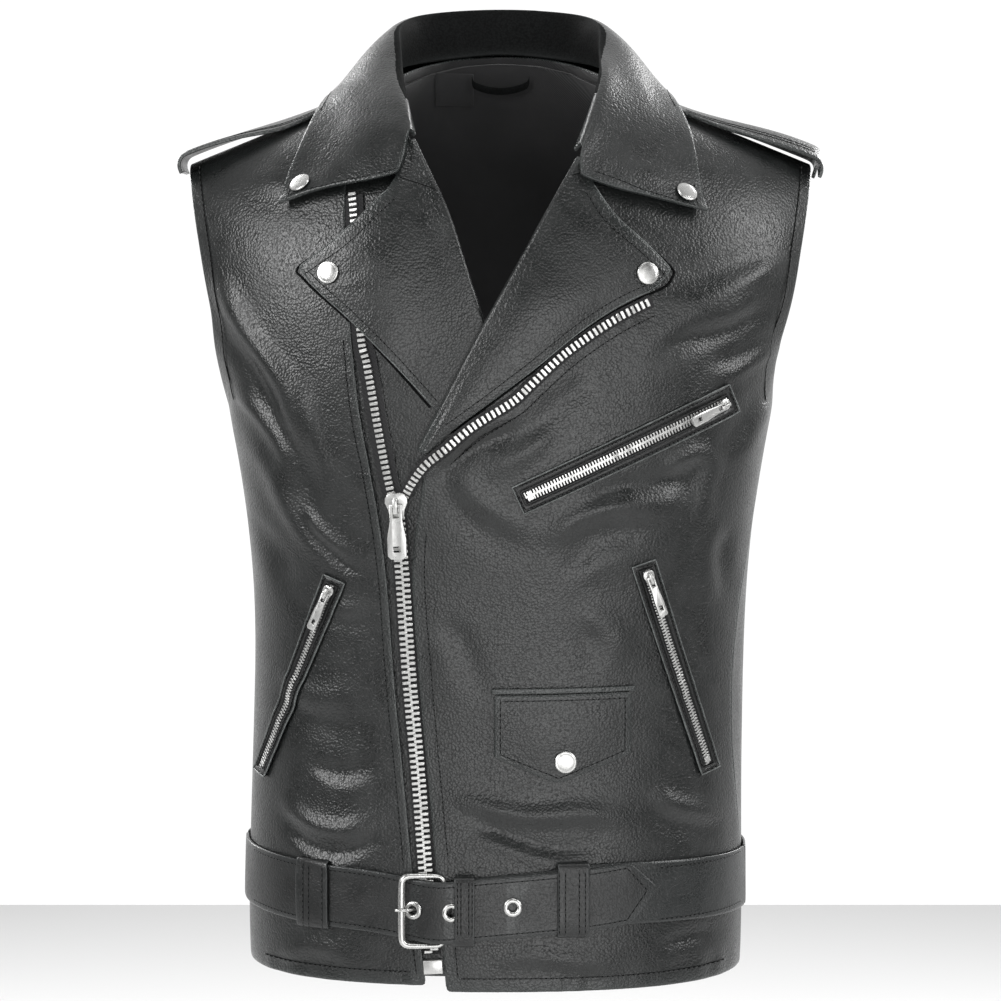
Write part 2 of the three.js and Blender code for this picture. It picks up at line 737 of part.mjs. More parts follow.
function strip(points, count, width, thickness, place) {
  const widthOf = typeof width === "function" ? width : () => width;
  const face = (height) =>
    stripAlong(points, count).map((s, i) => {
      const half = widthOf(i / (count - 1)) / 2;
      return [-half, half].map((w) => place(s.x + s.ax * w, s.z + s.az * w, s.lift + height));
    });
  return wall(face(thickness), face(0));
}

const CHAIN_WIDTH = 9.4;
const CLOSED_PATH = [
  [-67.6, -292, -1.9], [-64.5, -333, -1.9], [-60.3, -398, -1.9], [-55, -457, -1.9], [-50, -523, -1.9],
  [-45.6, -582, -1.9],
];
const RIGHT_CHAIN_PATH = [
  [-97.5, -80, -1.9], [-96, -98, -1.9], [-91.5, -170, -1.9], [-87.5, -190, -1.9], [-82, -222, -1.9],
  [-77, -250, -1.9], [-71, -279, -1.9],
];
const LEFT_CHAIN_PATH = [
  [-62.5, -277, -1.7], [-58.5, -270, 0.6], [-53, -261.5, 2.4], [-47, -254.5, 3.4], [-35, -245, 3.4],
  [-17, -230, 2.6], [8, -214.5, 1], [22, -201.5, 0.6], [43, -182.5, 0.8], [72.5, -162.5, 0.8],
  [98.5, -149.5, 0.8],
];

function mainZip() {
  add("main_zip_closed", strip(CLOSED_PATH, 14, CHAIN_WIDTH, 2.6, onFront), TEETH);
  add("main_zip_right", strip(RIGHT_CHAIN_PATH, 13, CHAIN_WIDTH - 1.6, 2.6, onFront), TEETH);
  const ride = (x, z) => crossing(Math.max(x, read(LEFT_EDGE, z, "x")), z) * ease(-60, -48, x);
  const place = (x, z, lift) => onFront(x, z, lift + ride(x, z));
  add("main_zip_left", strip(LEFT_CHAIN_PATH, 18, CHAIN_WIDTH - 1.8, 2.6, place), TEETH);
  const box = strip([[-44.9, -585.5, -1.9], [-44.2, -594.5, -1.9]], 2, 12.4, 4.6, onFront);
  add("main_zip_box", box, CHROME);
}

// A frame on a front: x across, y up the zip, z out of the cloth
function seatFrame(name, place, x, z, towards, lift) {
  const at = place(x, z, lift);
  const down = place(x + towards[0], z + towards[1], lift).sub(at).normalize();
  const flat = new THREE.Vector3(-down.z, 0, down.x);
  const across = place(x + flat.x, z + flat.z, lift).sub(at).normalize();
  const out = across.clone().cross(down).normalize();
  if (out.y > 0) out.negate();
  const up = down.clone().negate();
  const right = up.clone().cross(out).normalize();
  const seat = new THREE.Group();
  seat.position.copy(at);
  seat.quaternion.setFromRotationMatrix(new THREE.Matrix4().makeBasis(right, up, out));
  seat.name = name;
  group.add(seat);
  return { seat, up, out };
}

function outline(points, holes = []) {
  const shape = new THREE.Shape(points.map(([x, y]) => new THREE.Vector2(x, y)));
  for (const hole of holes) shape.holes.push(new THREE.Path(hole.map(([x, y]) => new THREE.Vector2(x, y))));
  return shape;
}

function plate(points, thickness, base, holes = []) {
  const extruded = new THREE.ExtrudeGeometry(outline(points, holes), { depth: thickness, bevelEnabled: false });
  return extruded.translate(0, 0, base);
}

// An outline from its right half, whose first and last points lie on the middle line
function mirrored(half) {
  const left = half.slice(1, -1).reverse();
  return [...half, ...left.map(([x, y]) => [-x, y])];
}

// A rectangle that is centred on the middle line
function slotHole(width, from, to) {
  const w = width / 2;
  return [[-w, -from], [-w, -to], [w, -to], [w, -from]];
}

const BRIDGE_SUNK = 0.3;

// A zip slider: a shouldered plate, and a bridge along it that the pull's bar passes under
function slider(size) {
  const { width, length, thickness, axis, bridge } = size;
  const w = width / 2;
  const l = length / 2;
  const half = [[0, -l], [w * 0.6, -l], [w * 0.74, -l * 0.3], [w, l * 0.2], [w * 0.98, l * 0.55]];
  half.push([w * 0.78, l * 0.86], [w * 0.36, l], [0, l * 0.94]);
  const body = plate(mirrored(half), thickness, 0);
  const foot = thickness - BRIDGE_SUNK;
  const legs = bridge.reach + bridge.leg;
  const top = thickness + axis + bridge.room;
  const outer = [[legs, foot], [legs, top + bridge.leg * 0.4], [bridge.reach, top + bridge.leg]];
  const inner = [[bridge.reach, top], [bridge.reach, foot]];
  const flip = ([x, y]) => [-x, y];
  const span = [...outer, ...[...outer].reverse().map(flip), ...[...inner].reverse().map(flip), ...inner];
  const arch = plate(span, bridge.width, -bridge.width / 2);
  arch.rotateY(-Math.PI / 2);
  arch.rotateX(Math.PI / 2);
  return joined(body, arch);
}

// A pull tab hanging along -y from its bar, which lies on the x axis
const PULL_BAR = 0.85;

function pullTab(size) {
  const { width, neck, length, thickness, eye, slot } = size;
  const w = width / 2;
  const n = neck / 2;
  const r = w * 0.35;
  const waist = -eye.length - 2;
  const half = [
    [0, PULL_BAR], [n, PULL_BAR], [n, waist], [w, -length * 0.6], [w, r - length],
    [w - r, -length],
  ];
  half.push([0, -length]);
  const holes = [slotHole(eye.width, PULL_BAR, eye.length), slotHole(slot.width, slot.from, slot.to)];
  return plate(mirrored(half), thickness, -thickness / 2, holes);
}

const PULL_SIZES = {
  large: {
    slider: { width: 15, length: 17, thickness: 1.9, axis: 1.5 },
    bridge: { reach: 3.6, leg: 1.5, room: 1.3, width: 2.8 },
    tab: { width: 12.4, neck: 8.4, length: 35, thickness: 1.6 },
    eye: { width: 4.4, length: 8 },
    slot: { width: 5, from: 26.5, to: 30.5 },
  },
  small: {
    slider: { width: 7.6, length: 10, thickness: 1.5, axis: 1.3 },
    bridge: { reach: 2.6, leg: 1.1, room: 1.2, width: 1.9 },
    tab: { width: 6.2, neck: 5, length: 27, thickness: 1.4 },
    eye: { width: 2.9, length: 6.4 },
    slot: { width: 2.6, from: 19.5, to: 23 },
  },
};
PULL_SIZES.chest = {
  ...PULL_SIZES.small,
  tab: { width: 7.2, neck: 5.4, length: 29, thickness: 1.4 },
  slot: { width: 3, from: 21.5, to: 25 },
};

// Where each slider sits: its point, the way its pull lies, its height on the zip, and how far the pull
// may turn out from the cloth (the chest's is held flat on its zip by its catch)
const HANGS_FREE = Math.PI;
const CATCH_HELD = 0.05;
const SLIDERS = [
  { name: "main_zip", size: "large", place: onFront, at: [-67.8, -283], towards: [0.5, -10], lift: 1.3 },
  { name: "hand_right", size: "small", place: onFront, at: [-112.9, -342.6], towards: [-3.6, -9.3], lift: 3.2 },
  { name: "hand_left", size: "small", place: onLeftFront, at: [96.9, -331.6], towards: [3.1, -9.5], lift: 3.2 },
  { name: "chest", size: "chest", place: onLeftFront, at: [145, -218.6], towards: [-9.1, -4.15], lift: 3.2 },
];

// A hanging pull tab turns out from the cloth until it is plumb
function plumbTilt(seat) {
  const down = seat.up.clone().negate();
  const gravity = new THREE.Vector3(0, 0, -1);
  return Math.max(0, Math.atan2(gravity.dot(seat.out), gravity.dot(down)));
}

function slidersAndPulls() {
  for (const s of SLIDERS) {
    const size = PULL_SIZES[s.size];
    const seat = seatFrame(s.name + "_seat", s.place, ...s.at, s.towards, s.lift);
    add(s.name + "_slider", slider({ ...size.slider, bridge: size.bridge }), CHROME, seat.seat);
    const hinge = new THREE.Group();
    hinge.position.set(0, 0, size.slider.thickness + size.slider.axis);
    hinge.rotation.x = -Math.min(plumbTilt(seat), s.name === "chest" ? CATCH_HELD : HANGS_FREE);
    seat.seat.add(hinge);
    add(s.name + "_pull", pullTab({ ...size.tab, eye: size.eye, slot: size.slot }), CHROME, hinge);
  }
}

// Pockets

const POCKETS = [
  { name: "hand_right", place: onFront, from: [-109.5, -333.6], to: [-163, -471.6], width: [15, 8.6], slot: [8, 5] },
  { name: "hand_left", place: onLeftFront, from: [94, -322.6], to: [140, -465.6], width: [16, 13], slot: [8.4, 6.6] },
  { name: "chest", place: onLeftFront, from: [154, -214.5], to: [11.5, -279.5], width: [20, 19], slot: [9, 9] },
];

function pocket(p) {
  const [ax, az] = p.from;
  const [bx, bz] = p.to;
  const long = Math.hypot(bx - ax, bz - az);
  const at = (d) => [ax + ((bx - ax) * d) / long, az + ((bz - az) * d) / long];
  const thirds = [0, 1 / 3, 2 / 3, 1];
  const line = (start, end, lift) => thirds.map((t) => [...at(start + (end - start) * t), lift]);
  const taper = (pair) => (t) => pair[0] + (pair[1] - pair[0]) * t;
  const whole = strip(line(0, long, WELT_REST), 12, taper(p.width), 2, p.place);
  const slot = strip(line(4, long - 4, WELT_REST - 1.5), 12, taper(p.slot), 6, p.place);
  add(p.name + "_welt", cut(whole, slot), LEATHER);
  const chainWidth = (t) => taper(p.slot)(t) - 2 * SLOT_GAP;
  const chainLine = line(CHAIN_INSET, long - CHAIN_INSET, WELT_REST);
  add(p.name + "_zip", strip(chainLine, 12, chainWidth, POCKET_CHAIN_HEIGHT, p.place), TEETH);
}

function flap() {
  const outlinePoints = [
    { x: -4, low: -451, high: -409 },
    { x: 8, low: -455.8, high: -409 },
    { x: 19, low: -460.6, high: -409 },
    { x: 29, low: -465, high: -408.8 },
    { x: 38.5, low: -468.4, high: -408.6 },
    { x: 50, low: -463.6, high: -408.4 },
    { x: 62, low: -458.8, high: -408.2 },
    { x: 74, low: -454, high: -408 },
    { x: 86, low: -449, high: -408 },
  ];
  const face = (height) =>
    [0, 0.25, 0.5, 0.75, 1].map((t) =>
      outlinePoints.map((c) => {
        const puff = 1.6 * Math.sin(Math.PI * t) * Math.sin((Math.PI * (c.x + 4)) / 90);
        return onLeftFront(c.x, c.low + (c.high - c.low) * t, REST + height + puff * (height > 0 ? 1 : 0.8));
      }),
    );
  add("flap", wall(face(2.4), face(0)), LEATHER);
  const tuck = [[-6, -406.6, REST], [41, -406.2, REST], [89, -405.6, REST]];
  add("flap_tuck", strip(tuck, 7, 3.4, 2.2, onLeftFront), LEATHER);
}

// Snap caps: low domes

function snap(name, at, out) {
  const profile = [[0, 0], [6.6, 0], [7.3, 0.5], [7.2, 1.1], [5.6, 1.8], [2.8, 2.2], [0, 2.3]];
  const dome = new THREE.LatheGeometry(profile.map(([r, h]) => new THREE.Vector2(r, h)), 18);
  const cap = fromSolid(asSolid(facingOut(bare(dome))));
  const mesh = add(name, cap, CHROME);
  mesh.position.copy(at);
  mesh.quaternion.setFromUnitVectors(new THREE.Vector3(0, 1, 0), out);
}

function surfaceSnap(name, pointAt, u, v, lift) {
  const step = 0.02;
  const at = pointAt(u, v);
  const du = pointAt(u + step, v).sub(pointAt(u - step, v));
  const dv = pointAt(u, v + step).sub(pointAt(u, v - step));
  const out = du.cross(dv).normalize();
  if (out.y > 0) out.negate();
  snap(name, at.addScaledVector(out, lift), out);
}

// Belt

const BELT_HALF = 20.4;
const BELT_LINE = [
  { x: -176, z: -541, lift: 0.8 },
  { x: -134, z: -544.5, lift: 0.8 },
  { x: -90, z: -547, lift: 0.8 },
  { x: -74, z: -548.8, lift: 1.3 },
  { x: -62, z: -551, lift: 1.4 },
  { x: -57, z: -552, lift: 2.4 },
  { x: -50, z: -552.8, lift: 3.9 },
  { x: -42, z: -553.4, lift: 5.1 },
  { x: -36, z: -553.2, lift: 5.3 },
  { x: -28, z: -552.6, lift: 4.9 },
  { x: -15, z: -551.4, lift: 4.1 },
  { x: 20, z: -548.5, lift: 3.8 },
  { x: 58, z: -545.5, lift: 3.8 },
  { x: 103, z: -539.5, lift: 3.7 },
];
const BELT_WALL = 2.5;
const STRIP_LINE = [
  { x: -34, z: -553 },
  { x: -15, z: -551 },
  { x: 20, z: -548 },
  { x: 37, z: -546 },
  { x: 58, z: -543 },
  { x: 110, z: -543 },
  { x: 176, z: -546 },
];
const EYELETS = [
  { name: "eyelet_1", x: -57 },
  { name: "eyelet_2", x: -32 },
  { name: "eyelet_3", x: 8 },
];

function beltZ(x) {
  return read(BELT_LINE, x, "z", "x");
}

function beltLift(x) {
  return read(BELT_LINE, x, "lift", "x");
}

function beltPoint(x, dz, height) {
  return onFront(x, beltZ(x) + dz, beltLift(x) + height);
}

function beltStrap() {
  const xs = [-84, -78, -72, -66, -61, -57, -53, -49, -45, -41, -37, -33, -29, -24, -18, -8, 4, 20, 36, 52, 68, 84];
  const level = -545 - ARMPIT_Z;
  const start = evenAngles(level, -89.6, whereIs("front", -90, -545).angle, 8);
  const face = (height) => {
    const grid = start.map((angle) => {
      const x = form(level, angle).x;
      return [-1, 0, 1].map((c) => {
        const z = beltZ(x) + c * BELT_HALF;
        return skin(z - ARMPIT_Z, angle, beltLift(x) + height);
      });
    });
    for (const x of xs) grid.push([-1, 0, 1].map((c) => beltPoint(x, c * BELT_HALF, height)));
    grid.push([-1, 0, 1].map((c) => beltPoint(84 + (c ? 4 : 19), c * 17, height)));
    return grid;
  };
  const band = wall(face(BELT_WALL), face(0));
  const holes = EYELETS.map(({ x }) => {
    const hole = new THREE.CylinderGeometry(4, 4, 12, 14);
    return eyeletFrame(hole, x, BELT_WALL / 2);
  });
  add("belt_strap", cut(band, ...holes), LEATHER);
}

function eyeletFrame(geometry, x, height) {
  const at = beltPoint(x, 0, height);
  const along = beltPoint(x + 1.5, 0, height).sub(beltPoint(x - 1.5, 0, height));
  const up = beltPoint(x, 1, height).sub(beltPoint(x, -1, height));
  const out = along.cross(up).normalize();
  const turn = new THREE.Quaternion().setFromUnitVectors(new THREE.Vector3(0, 1, 0), out);
  return bare(geometry).applyQuaternion(turn).translate(at.x, at.y, at.z);
}

function eyelets() {
  const flange = BELT_WALL / 2 + 0.35;
  const profile = [[2.9, -0.2], [3.6, -0.2], [3.6, flange], [6.2, flange], [6.2, flange + 0.4]];
  profile.push([4.6, flange + 0.9], [2.9, flange + 0.5], [2.9, -0.2]);
  for (const { name, x } of EYELETS) {
    const ring = new THREE.LatheGeometry(profile.map(([r, h]) => new THREE.Vector2(r, h)), 16);
    add(name, facingOut(eyeletFrame(ring, x, BELT_WALL / 2)), CHROME);
  }
}

function beltRest() {
  const strips = (from, to, count, zOf) => {
    const angles = evenAngles(-545 - ARMPIT_Z, from, to, count);
    const face = (height) =>
      angles.map((angle) => {
        const x = form(-545 - ARMPIT_Z, angle).x;
        return [-1, 1].map((c) => skin(zOf(x) + c * BELT_HALF - ARMPIT_Z, angle, REST + height));
      });
    return wall(face(2.2), face(0));
  };
  const start = whereIs("front", -33, -549).angle;
  add("belt_strip_left", strips(start, 79.6, 14, (x) => read(STRIP_LINE, x, "z", "x")), LEATHER);
  add("belt_back", strips(80, 269.6, 22, (x) => -543.5 - 2.5 * (x / 176)), LEATHER);
}

const LOOPS = [
  { name: "belt_loop_right", x: -123.5, width: 20.5, rise: 0, reach: BELT_HALF + 1.9, up: 0 },
  { name: "belt_loop_middle", x: -23.5, width: 13, rise: 1.1, reach: BELT_HALF + 1.9, up: 0 },
  { name: "belt_loop_left", x: 47.5, width: 20.5, rise: 0.3, reach: BELT_HALF + 3.6, up: 1.4 },
];

function beltLoops() {
  for (const { name, x, width, rise, reach: side, up } of LOOPS) {
    const top = Math.max(beltLift(x - width / 2), beltLift(x + width / 2)) + BELT_WALL + rise;
    const path = [
      { d: side, h: 1.7 },
      { d: side, h: top - 0.4 },
      { d: side - 1.3, h: top + 1.2 },
      { d: 8, h: top + 1.7 },
      { d: -8, h: top + 1.7 },
      { d: 1.3 - side, h: top + 1.2 },
      { d: -side, h: top - 0.4 },
      { d: -side, h: 1.7 },
    ];
    const spot = (c, d, h) => onFront(x + c * width, beltZ(x) + up + d, h);
    const grid = path.map(({ d, h }) => [-0.5, 0, 0.5].map((c) => spot(c, d, h)));
    add(name, sheet(grid, 1.8), LEATHER);
  }
}

// A rod along a line, open or closed on itself, whose radius may change
function rod(points, radii, sides, closed, bulge = 1) {
  const count = points.length;
  const rings = points.map((p, i) => {
    const next = closed ? points[(i + 1) % count] : points[Math.min(i + 1, count - 1)];
    const before = closed ? points[(i + count - 1) % count] : points[Math.max(i - 1, 0)];
    const along = next.clone().sub(before).normalize();
    const out = new THREE.Vector3(0, -1, 0);
    out.addScaledVector(along, -out.dot(along)).normalize();
    const across = along.clone().cross(out);
    return Array.from({ length: sides }, (_, k) => {
      const turn = (2 * Math.PI * k) / sides;
      const r = radii[i];
      const ring = p.clone().addScaledVector(out, Math.cos(turn) * r);
      return ring.addScaledVector(across, Math.sin(turn) * r * bulge);
    });
  });
  const faces = [];
  const last = closed ? count : count - 1;
  for (let i = 0; i < last; i++)
    for (let k = 0; k < sides; k++) {
      const a = i * sides + k;
      const b = i * sides + ((k + 1) % sides);
      const c = ((i + 1) % count) * sides + ((k + 1) % sides);
      const d = ((i + 1) % count) * sides + k;
      faces.push([a, b, c], [a, c, d]);
    }
  if (!closed)
    for (let k = 1; k < sides - 1; k++) {
      const end = (count - 1) * sides;
      faces.push([0, k + 1, k], [end, end + k, end + k + 1]);
    }
  return facingOut(geometryFrom(rings.flat(), faces));
}

function buckle() {
  const left = { x: -64.4, lift: 6.9, radius: 2.6 };
  const right = { x: -37, lift: 3.1, radius: 1.7 };
  const high = -529.3;
  const low = -575.6;
  const corner = 5;
  const stations = [];
  const station = (x, z) => {
    const t = (x - left.x) / (right.x - left.x);
    const lift = left.lift + (right.lift - left.lift) * t;
    const radius = left.radius + (right.radius - left.radius) * ease(0, 0.35, t);
    stations.push({ point: onFront(x, z, lift), radius });
  };
  const arc = (cx, cz, from) => {
    for (const step of [0, 30, 60, 90]) {
      const turn = THREE.MathUtils.degToRad(from - step);
      station(cx + corner * Math.cos(turn), cz + corner * Math.sin(turn));
    }
  };
  const middleX = (left.x + right.x) / 2;
  const middleZ = (high + low) / 2;
  arc(left.x + corner, high - corner, 180);
  station(middleX, high);
  arc(right.x - corner, high - corner, 90);
  station(right.x, middleZ);
  arc(right.x - corner, low + corner, 0);
  station(middleX, low);
  arc(left.x + corner, low + corner, -90);
  station(left.x, middleZ);
  add("buckle_frame", rod(stations.map((s) => s.point), stations.map((s) => s.radius), 10, true), CHROME);
  const tongue = [[-40.4, 2.5], [-46, 2.15], [-51, 2.05], [-54.8, 2.3], [-56.6, 4.2]];
  tongue.push([-58, 6.8], [-60.4, 10], [-64.4, 11.2], [-68, 10.6]);
  const route = smoothCurve(tongue.map(([x, lift]) => onFront(x, -551.6, lift)));
  const points = route.getSpacedPoints(16);
  add("buckle_tongue", rod(points, points.map(() => 1.15), 8, false), CHROME);
}

add("front_right", frontRight(), LEATHER);
add("front_right_facing", rightFacing(), LEATHER);
add("front_left", frontLeft(), LEATHER);
add("back", back(), LEATHER);
add("back_lining", backLining(), LINING);
add("lapel_right", lapel("right"), LEATHER);
add("lapel_left", lapel("left"), LEATHER);
add("collar", collar(), LEATHER);
add("shoulder_strap_right", strap("right"), LEATHER);
add("shoulder_strap_left", strap("left"), LEATHER);
mainZip();
slidersAndPulls();
for (const p of POCKETS) pocket(p);
flap();
const flapSnap = { x: 42.5, z: -453.5 };
const flapSnapAngle = whereIs("front", flapSnap.x, flapSnap.z).angle;
const flapSnapOut = formNormal(flapSnap.z - ARMPIT_Z, flapSnapAngle);
snap("flap_snap", onLeftFront(flapSnap.x, flapSnap.z, REST + 4.2), flapSnapOut);
surfaceSnap("lapel_right_snap", (u, v) => lapelPoint("right", u, v), 0.1, 0.87, 1.4);
surfaceSnap("lapel_left_snap", (u, v) => lapelPoint("left", u, v), 0.075, 0.86, 1.4);
surfaceSnap("collar_right_snap", collarPoint, 0.0357, 0.91, 3);
surfaceSnap("collar_left_snap", collarPoint, 0.9643, 0.91, 2.4);
beltStrap();
eyelets();
beltRest();
beltLoops();
buckle();

export default group;
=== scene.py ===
# %% [markdown]
# # A leather motorcycle vest
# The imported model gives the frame: every piece here lies on it, in the same place and size. Cloth panels
# are fine shells on the forms of their solids, and the largest folds, stitches, zip teeth and grain come
# on top. Sizes in the tables are millimetres; +Z is up and the front faces -Y.

import math

import bmesh
import bpy
import numpy as np
from mathutils import Matrix, Vector
from mathutils.bvhtree import BVHTree


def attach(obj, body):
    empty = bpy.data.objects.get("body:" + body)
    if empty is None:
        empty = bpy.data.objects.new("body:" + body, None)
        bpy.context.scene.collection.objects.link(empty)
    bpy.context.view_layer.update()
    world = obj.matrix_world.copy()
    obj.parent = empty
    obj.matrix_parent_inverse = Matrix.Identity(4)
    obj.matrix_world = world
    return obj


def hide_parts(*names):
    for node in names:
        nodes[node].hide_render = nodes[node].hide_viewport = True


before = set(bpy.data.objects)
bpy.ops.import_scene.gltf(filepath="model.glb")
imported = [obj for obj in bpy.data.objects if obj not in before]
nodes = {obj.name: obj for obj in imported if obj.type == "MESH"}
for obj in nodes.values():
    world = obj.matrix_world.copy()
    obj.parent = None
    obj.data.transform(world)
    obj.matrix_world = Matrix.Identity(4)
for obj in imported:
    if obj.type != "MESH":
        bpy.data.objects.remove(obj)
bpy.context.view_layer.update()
MM = 0.001

# %% [markdown]
# ## The body's form
# The real vest is flat panels sewn into a tube that a chest fills. It could be sculpted, but then each
# strip and stitch would have to be snapped to it. The same tables as the part's source give level
# sections below the armpits, and how each half closes up to the shoulder seams above them, so any place
# on the cloth can be worked out.

# %% Tables of the form
ARMPIT = -226.0
NECK_X = 75.0
SECTIONS = np.array([
    [-607, 170.2, -3.5, 117, 104],
    [-566, 171.2, -3.4, 116, 102],
    [-520, 170.4, -3.0, 113, 98],
    [-450, 169.2, -1.8, 110, 93],
    [-380, 168.8, -0.3, 111, 94],
    [-330, 171.0, 0, 114, 98],
    [-285, 176.0, 0, 118, 104],
    [-250, 181.5, 0, 120.5, 109],
    [-226, 186.5, 0, 121, 110],
], float)
FACES = {
    "front": dict(sign=-1, square=2.45, full=2.3, depth=121.0, armhole=0.53, flare=0.0, column=3),
    "back": dict(sign=1, square=2.3, full=3.0, depth=110.0, armhole=0.585, flare=5.0, column=4),
}
FOLDS = [
    ("front", -188, -150, -118, -268, 15, 3.4),
    ("front", -184, -196, -104, -306, 12, -2.6),
    ("front", -176, -236, -100, -322, 10, 1.8),
    ("front", 182, -140, 84, -205, 15, 3),
    ("front", 190, -164, 112, -192, 13, -1.8),
    ("front", 58, -298, 128, -300, 11, 2.2),
    ("front", 10, -482, 112, -500, 9, 1.8),
    ("front", -150, -488, -84, -506, 9, 1.8),
    ("front", -136, -424, -84, -440, 13, -1.4),
    ("back", -184, -140, -70, -250, 16, 3.4),
    ("back", -176, -200, -60, -296, 13, -2.8),
    ("back", 182, -150, 84, -262, 15, 3),
    ("back", 170, -214, 66, -310, 12, -2.4),
    ("back", -120, -470, 30, -486, 11, 2.6),
    ("back", -20, -452, 130, -462, 11, -2.2),
    ("back", -130, -424, -10, -432, 12, -1.8),
    ("back", -50, -20, 50, -20, 12, -1.6),
]
PLACKET_EDGE = [[-607, -49], [-523, -59], [-479, -63], [-406, -70], [-324, -76], [-269, -84], [-227, -92],
                [-170, -98], [-100, -102], [-40, -101], [10, -98]]
LEFT_EDGE = [[-607, -36], [-522, -43], [-457, -49], [-398, -54], [-333, -58.5], [-300, -57], [-280, -51.5],
             [-264, -49.5], [-250, -50], [-218, -34], [-181, -15], [-140, 8], [-111, 24], [-82, 40],
             [-54, 54], [-30, 63], [0, 75], [10, 76]]

# %% Reading the form
def ease(start, end, value):
    t = np.clip((value - start) / (end - start), 0, 1)
    return t * t * (3 - 2 * t)


def bell(value, middle, width):
    return np.exp(-(((value - middle) / width) ** 2))


def read(table, place, column=1):
    """A smooth line through the rows of a table, read at a place along its first column."""
    t = np.asarray(table, float)
    at = np.clip(place, t[0, 0], t[-1, 0])
    i = np.clip(np.searchsorted(t[:, 0], at, side="right") - 1, 0, len(t) - 2)
    before = np.maximum(np.arange(len(t)) - 1, 0)
    after = np.minimum(np.arange(len(t)) + 1, len(t) - 1)
    slope = (t[after, column] - t[before, column]) / (t[after, 0] - t[before, 0])
    step = t[i + 1, 0] - t[i, 0]
    s = (at - t[i, 0]) / step
    return ((2 * s**3 - 3 * s**2 + 1) * t[i, column] + (s**3 - 2 * s**2 + s) * step * slope[i]
            + (3 * s**2 - 2 * s**3) * t[i + 1, column] + (s**3 - s**2) * step * slope[i + 1])


def ridge(x):
    """Height of the shoulder seams, carried on over the open neck."""
    out = np.abs(x) - NECK_X
    slope = -0.405 * out - 4 * (1 - np.exp(-np.maximum(out, 0) / 12))
    t = np.minimum(np.abs(x) / NECK_X, 1)
    inside = (2 * t**3 - 3 * t**2 + 1) * 62 - (t**3 - t**2) * 0.74 * NECK_X
    return np.where(out >= 0, slope, inside)


def armhole_x(face, share, side):
    narrow = np.where(side > 0, 5.5 * bell(share, 0.2, 0.16), 0) if face == "front" else 0
    return 186.5 + 25 * share**1.1 + FACES[face]["flare"] * np.sin(np.pi * share) ** 2 - narrow


def size_at(face, x, z):
    """Half width, sideways shift and depth of the form at a height."""
    f = FACES[face]
    share = np.clip((z - ARMPIT) / (ridge(x) - ARMPIT), 0, 0.9995)
    cut = f["armhole"] * np.sqrt(1 - (1 - share) ** 3)
    upper = armhole_x(face, share, x) / (1 - cut ** f["square"]) ** (1 / f["square"])
    below = z <= ARMPIT
    half = np.where(below, read(SECTIONS, z, 1), upper)
    shift = np.where(below, read(SECTIONS, z, 2), 0)
    closing = f["depth"] * (1 - share ** f["full"]) ** (1 / f["full"])
    return half, shift, np.where(below, read(SECTIONS, z, f["column"]), closing)


def surface_y(face, x, z):
    f = FACES[face]
    half, shift, depth = size_at(face, x, z)
    across = np.clip(np.abs(x - shift) / half, 0, 1)
    return f["sign"] * depth * (1 - across ** f["square"]) ** (1 / f["square"])


def outward(points):
    """Unit directions out of the form at points, whichever half they lie on."""
    def fill(p):
        value = np.zeros(len(p))
        for face, here in (("front", p[:, 1] < 0), ("back", p[:, 1] >= 0)):
            half, shift, depth = size_at(face, p[:, 0], p[:, 2])
            k = FACES[face]["square"]
            whole = (np.abs(p[:, 0] - shift) / half) ** k + (np.abs(p[:, 1]) / depth) ** k
            value = np.where(here, whole, value)
        return value
    step = 0.2
    slopes = [fill(points + step * axis) - fill(points - step * axis) for axis in np.eye(3)]
    way = np.stack(slopes, axis=1)
    return way / np.maximum(np.linalg.norm(way, axis=1, keepdims=True), 1e-9)

# %% [markdown]
# ### Large folds
# The solids carry a few large folds, and the left front rides up where it crosses the other lapel. What
# is laid on the cloth has to follow both, so the same folds are worked out here, not measured by rays.

# %% Folds and the crossing
def fold_height(face, points):
    height = np.zeros(len(points))
    for on, x1, z1, x2, z2, width, high in FOLDS:
        if on != face:
            continue
        dx, dz = x2 - x1, z2 - z1
        long = math.hypot(dx, dz)
        along = ((points[:, 0] - x1) * dx + (points[:, 2] - z1) * dz) / long
        off = ((points[:, 0] - x1) * dz - (points[:, 2] - z1) * dx) / long
        height += high * ease(-0.1, 0.25, along / long) * ease(1.1, 0.7, along / long) * bell(off, 0, width)
    return height * np.clip(np.abs(points[:, 1]) / 40, 0, 1)


def crossing(x, z):
    """The wearer's left front rides up a little where it crosses the other lapel."""
    high = ease(-264, -236, z) * ease(-118, -156, z)
    return 3.6 * high * bell(np.maximum(x - read(LEFT_EDGE, z) - 24, 0), 0, 42)


chest = size_at("front", np.zeros(1), np.full(1, -250.0))
print("chest: half width, shift and depth", [round(float(value[0]), 1) for value in chest])
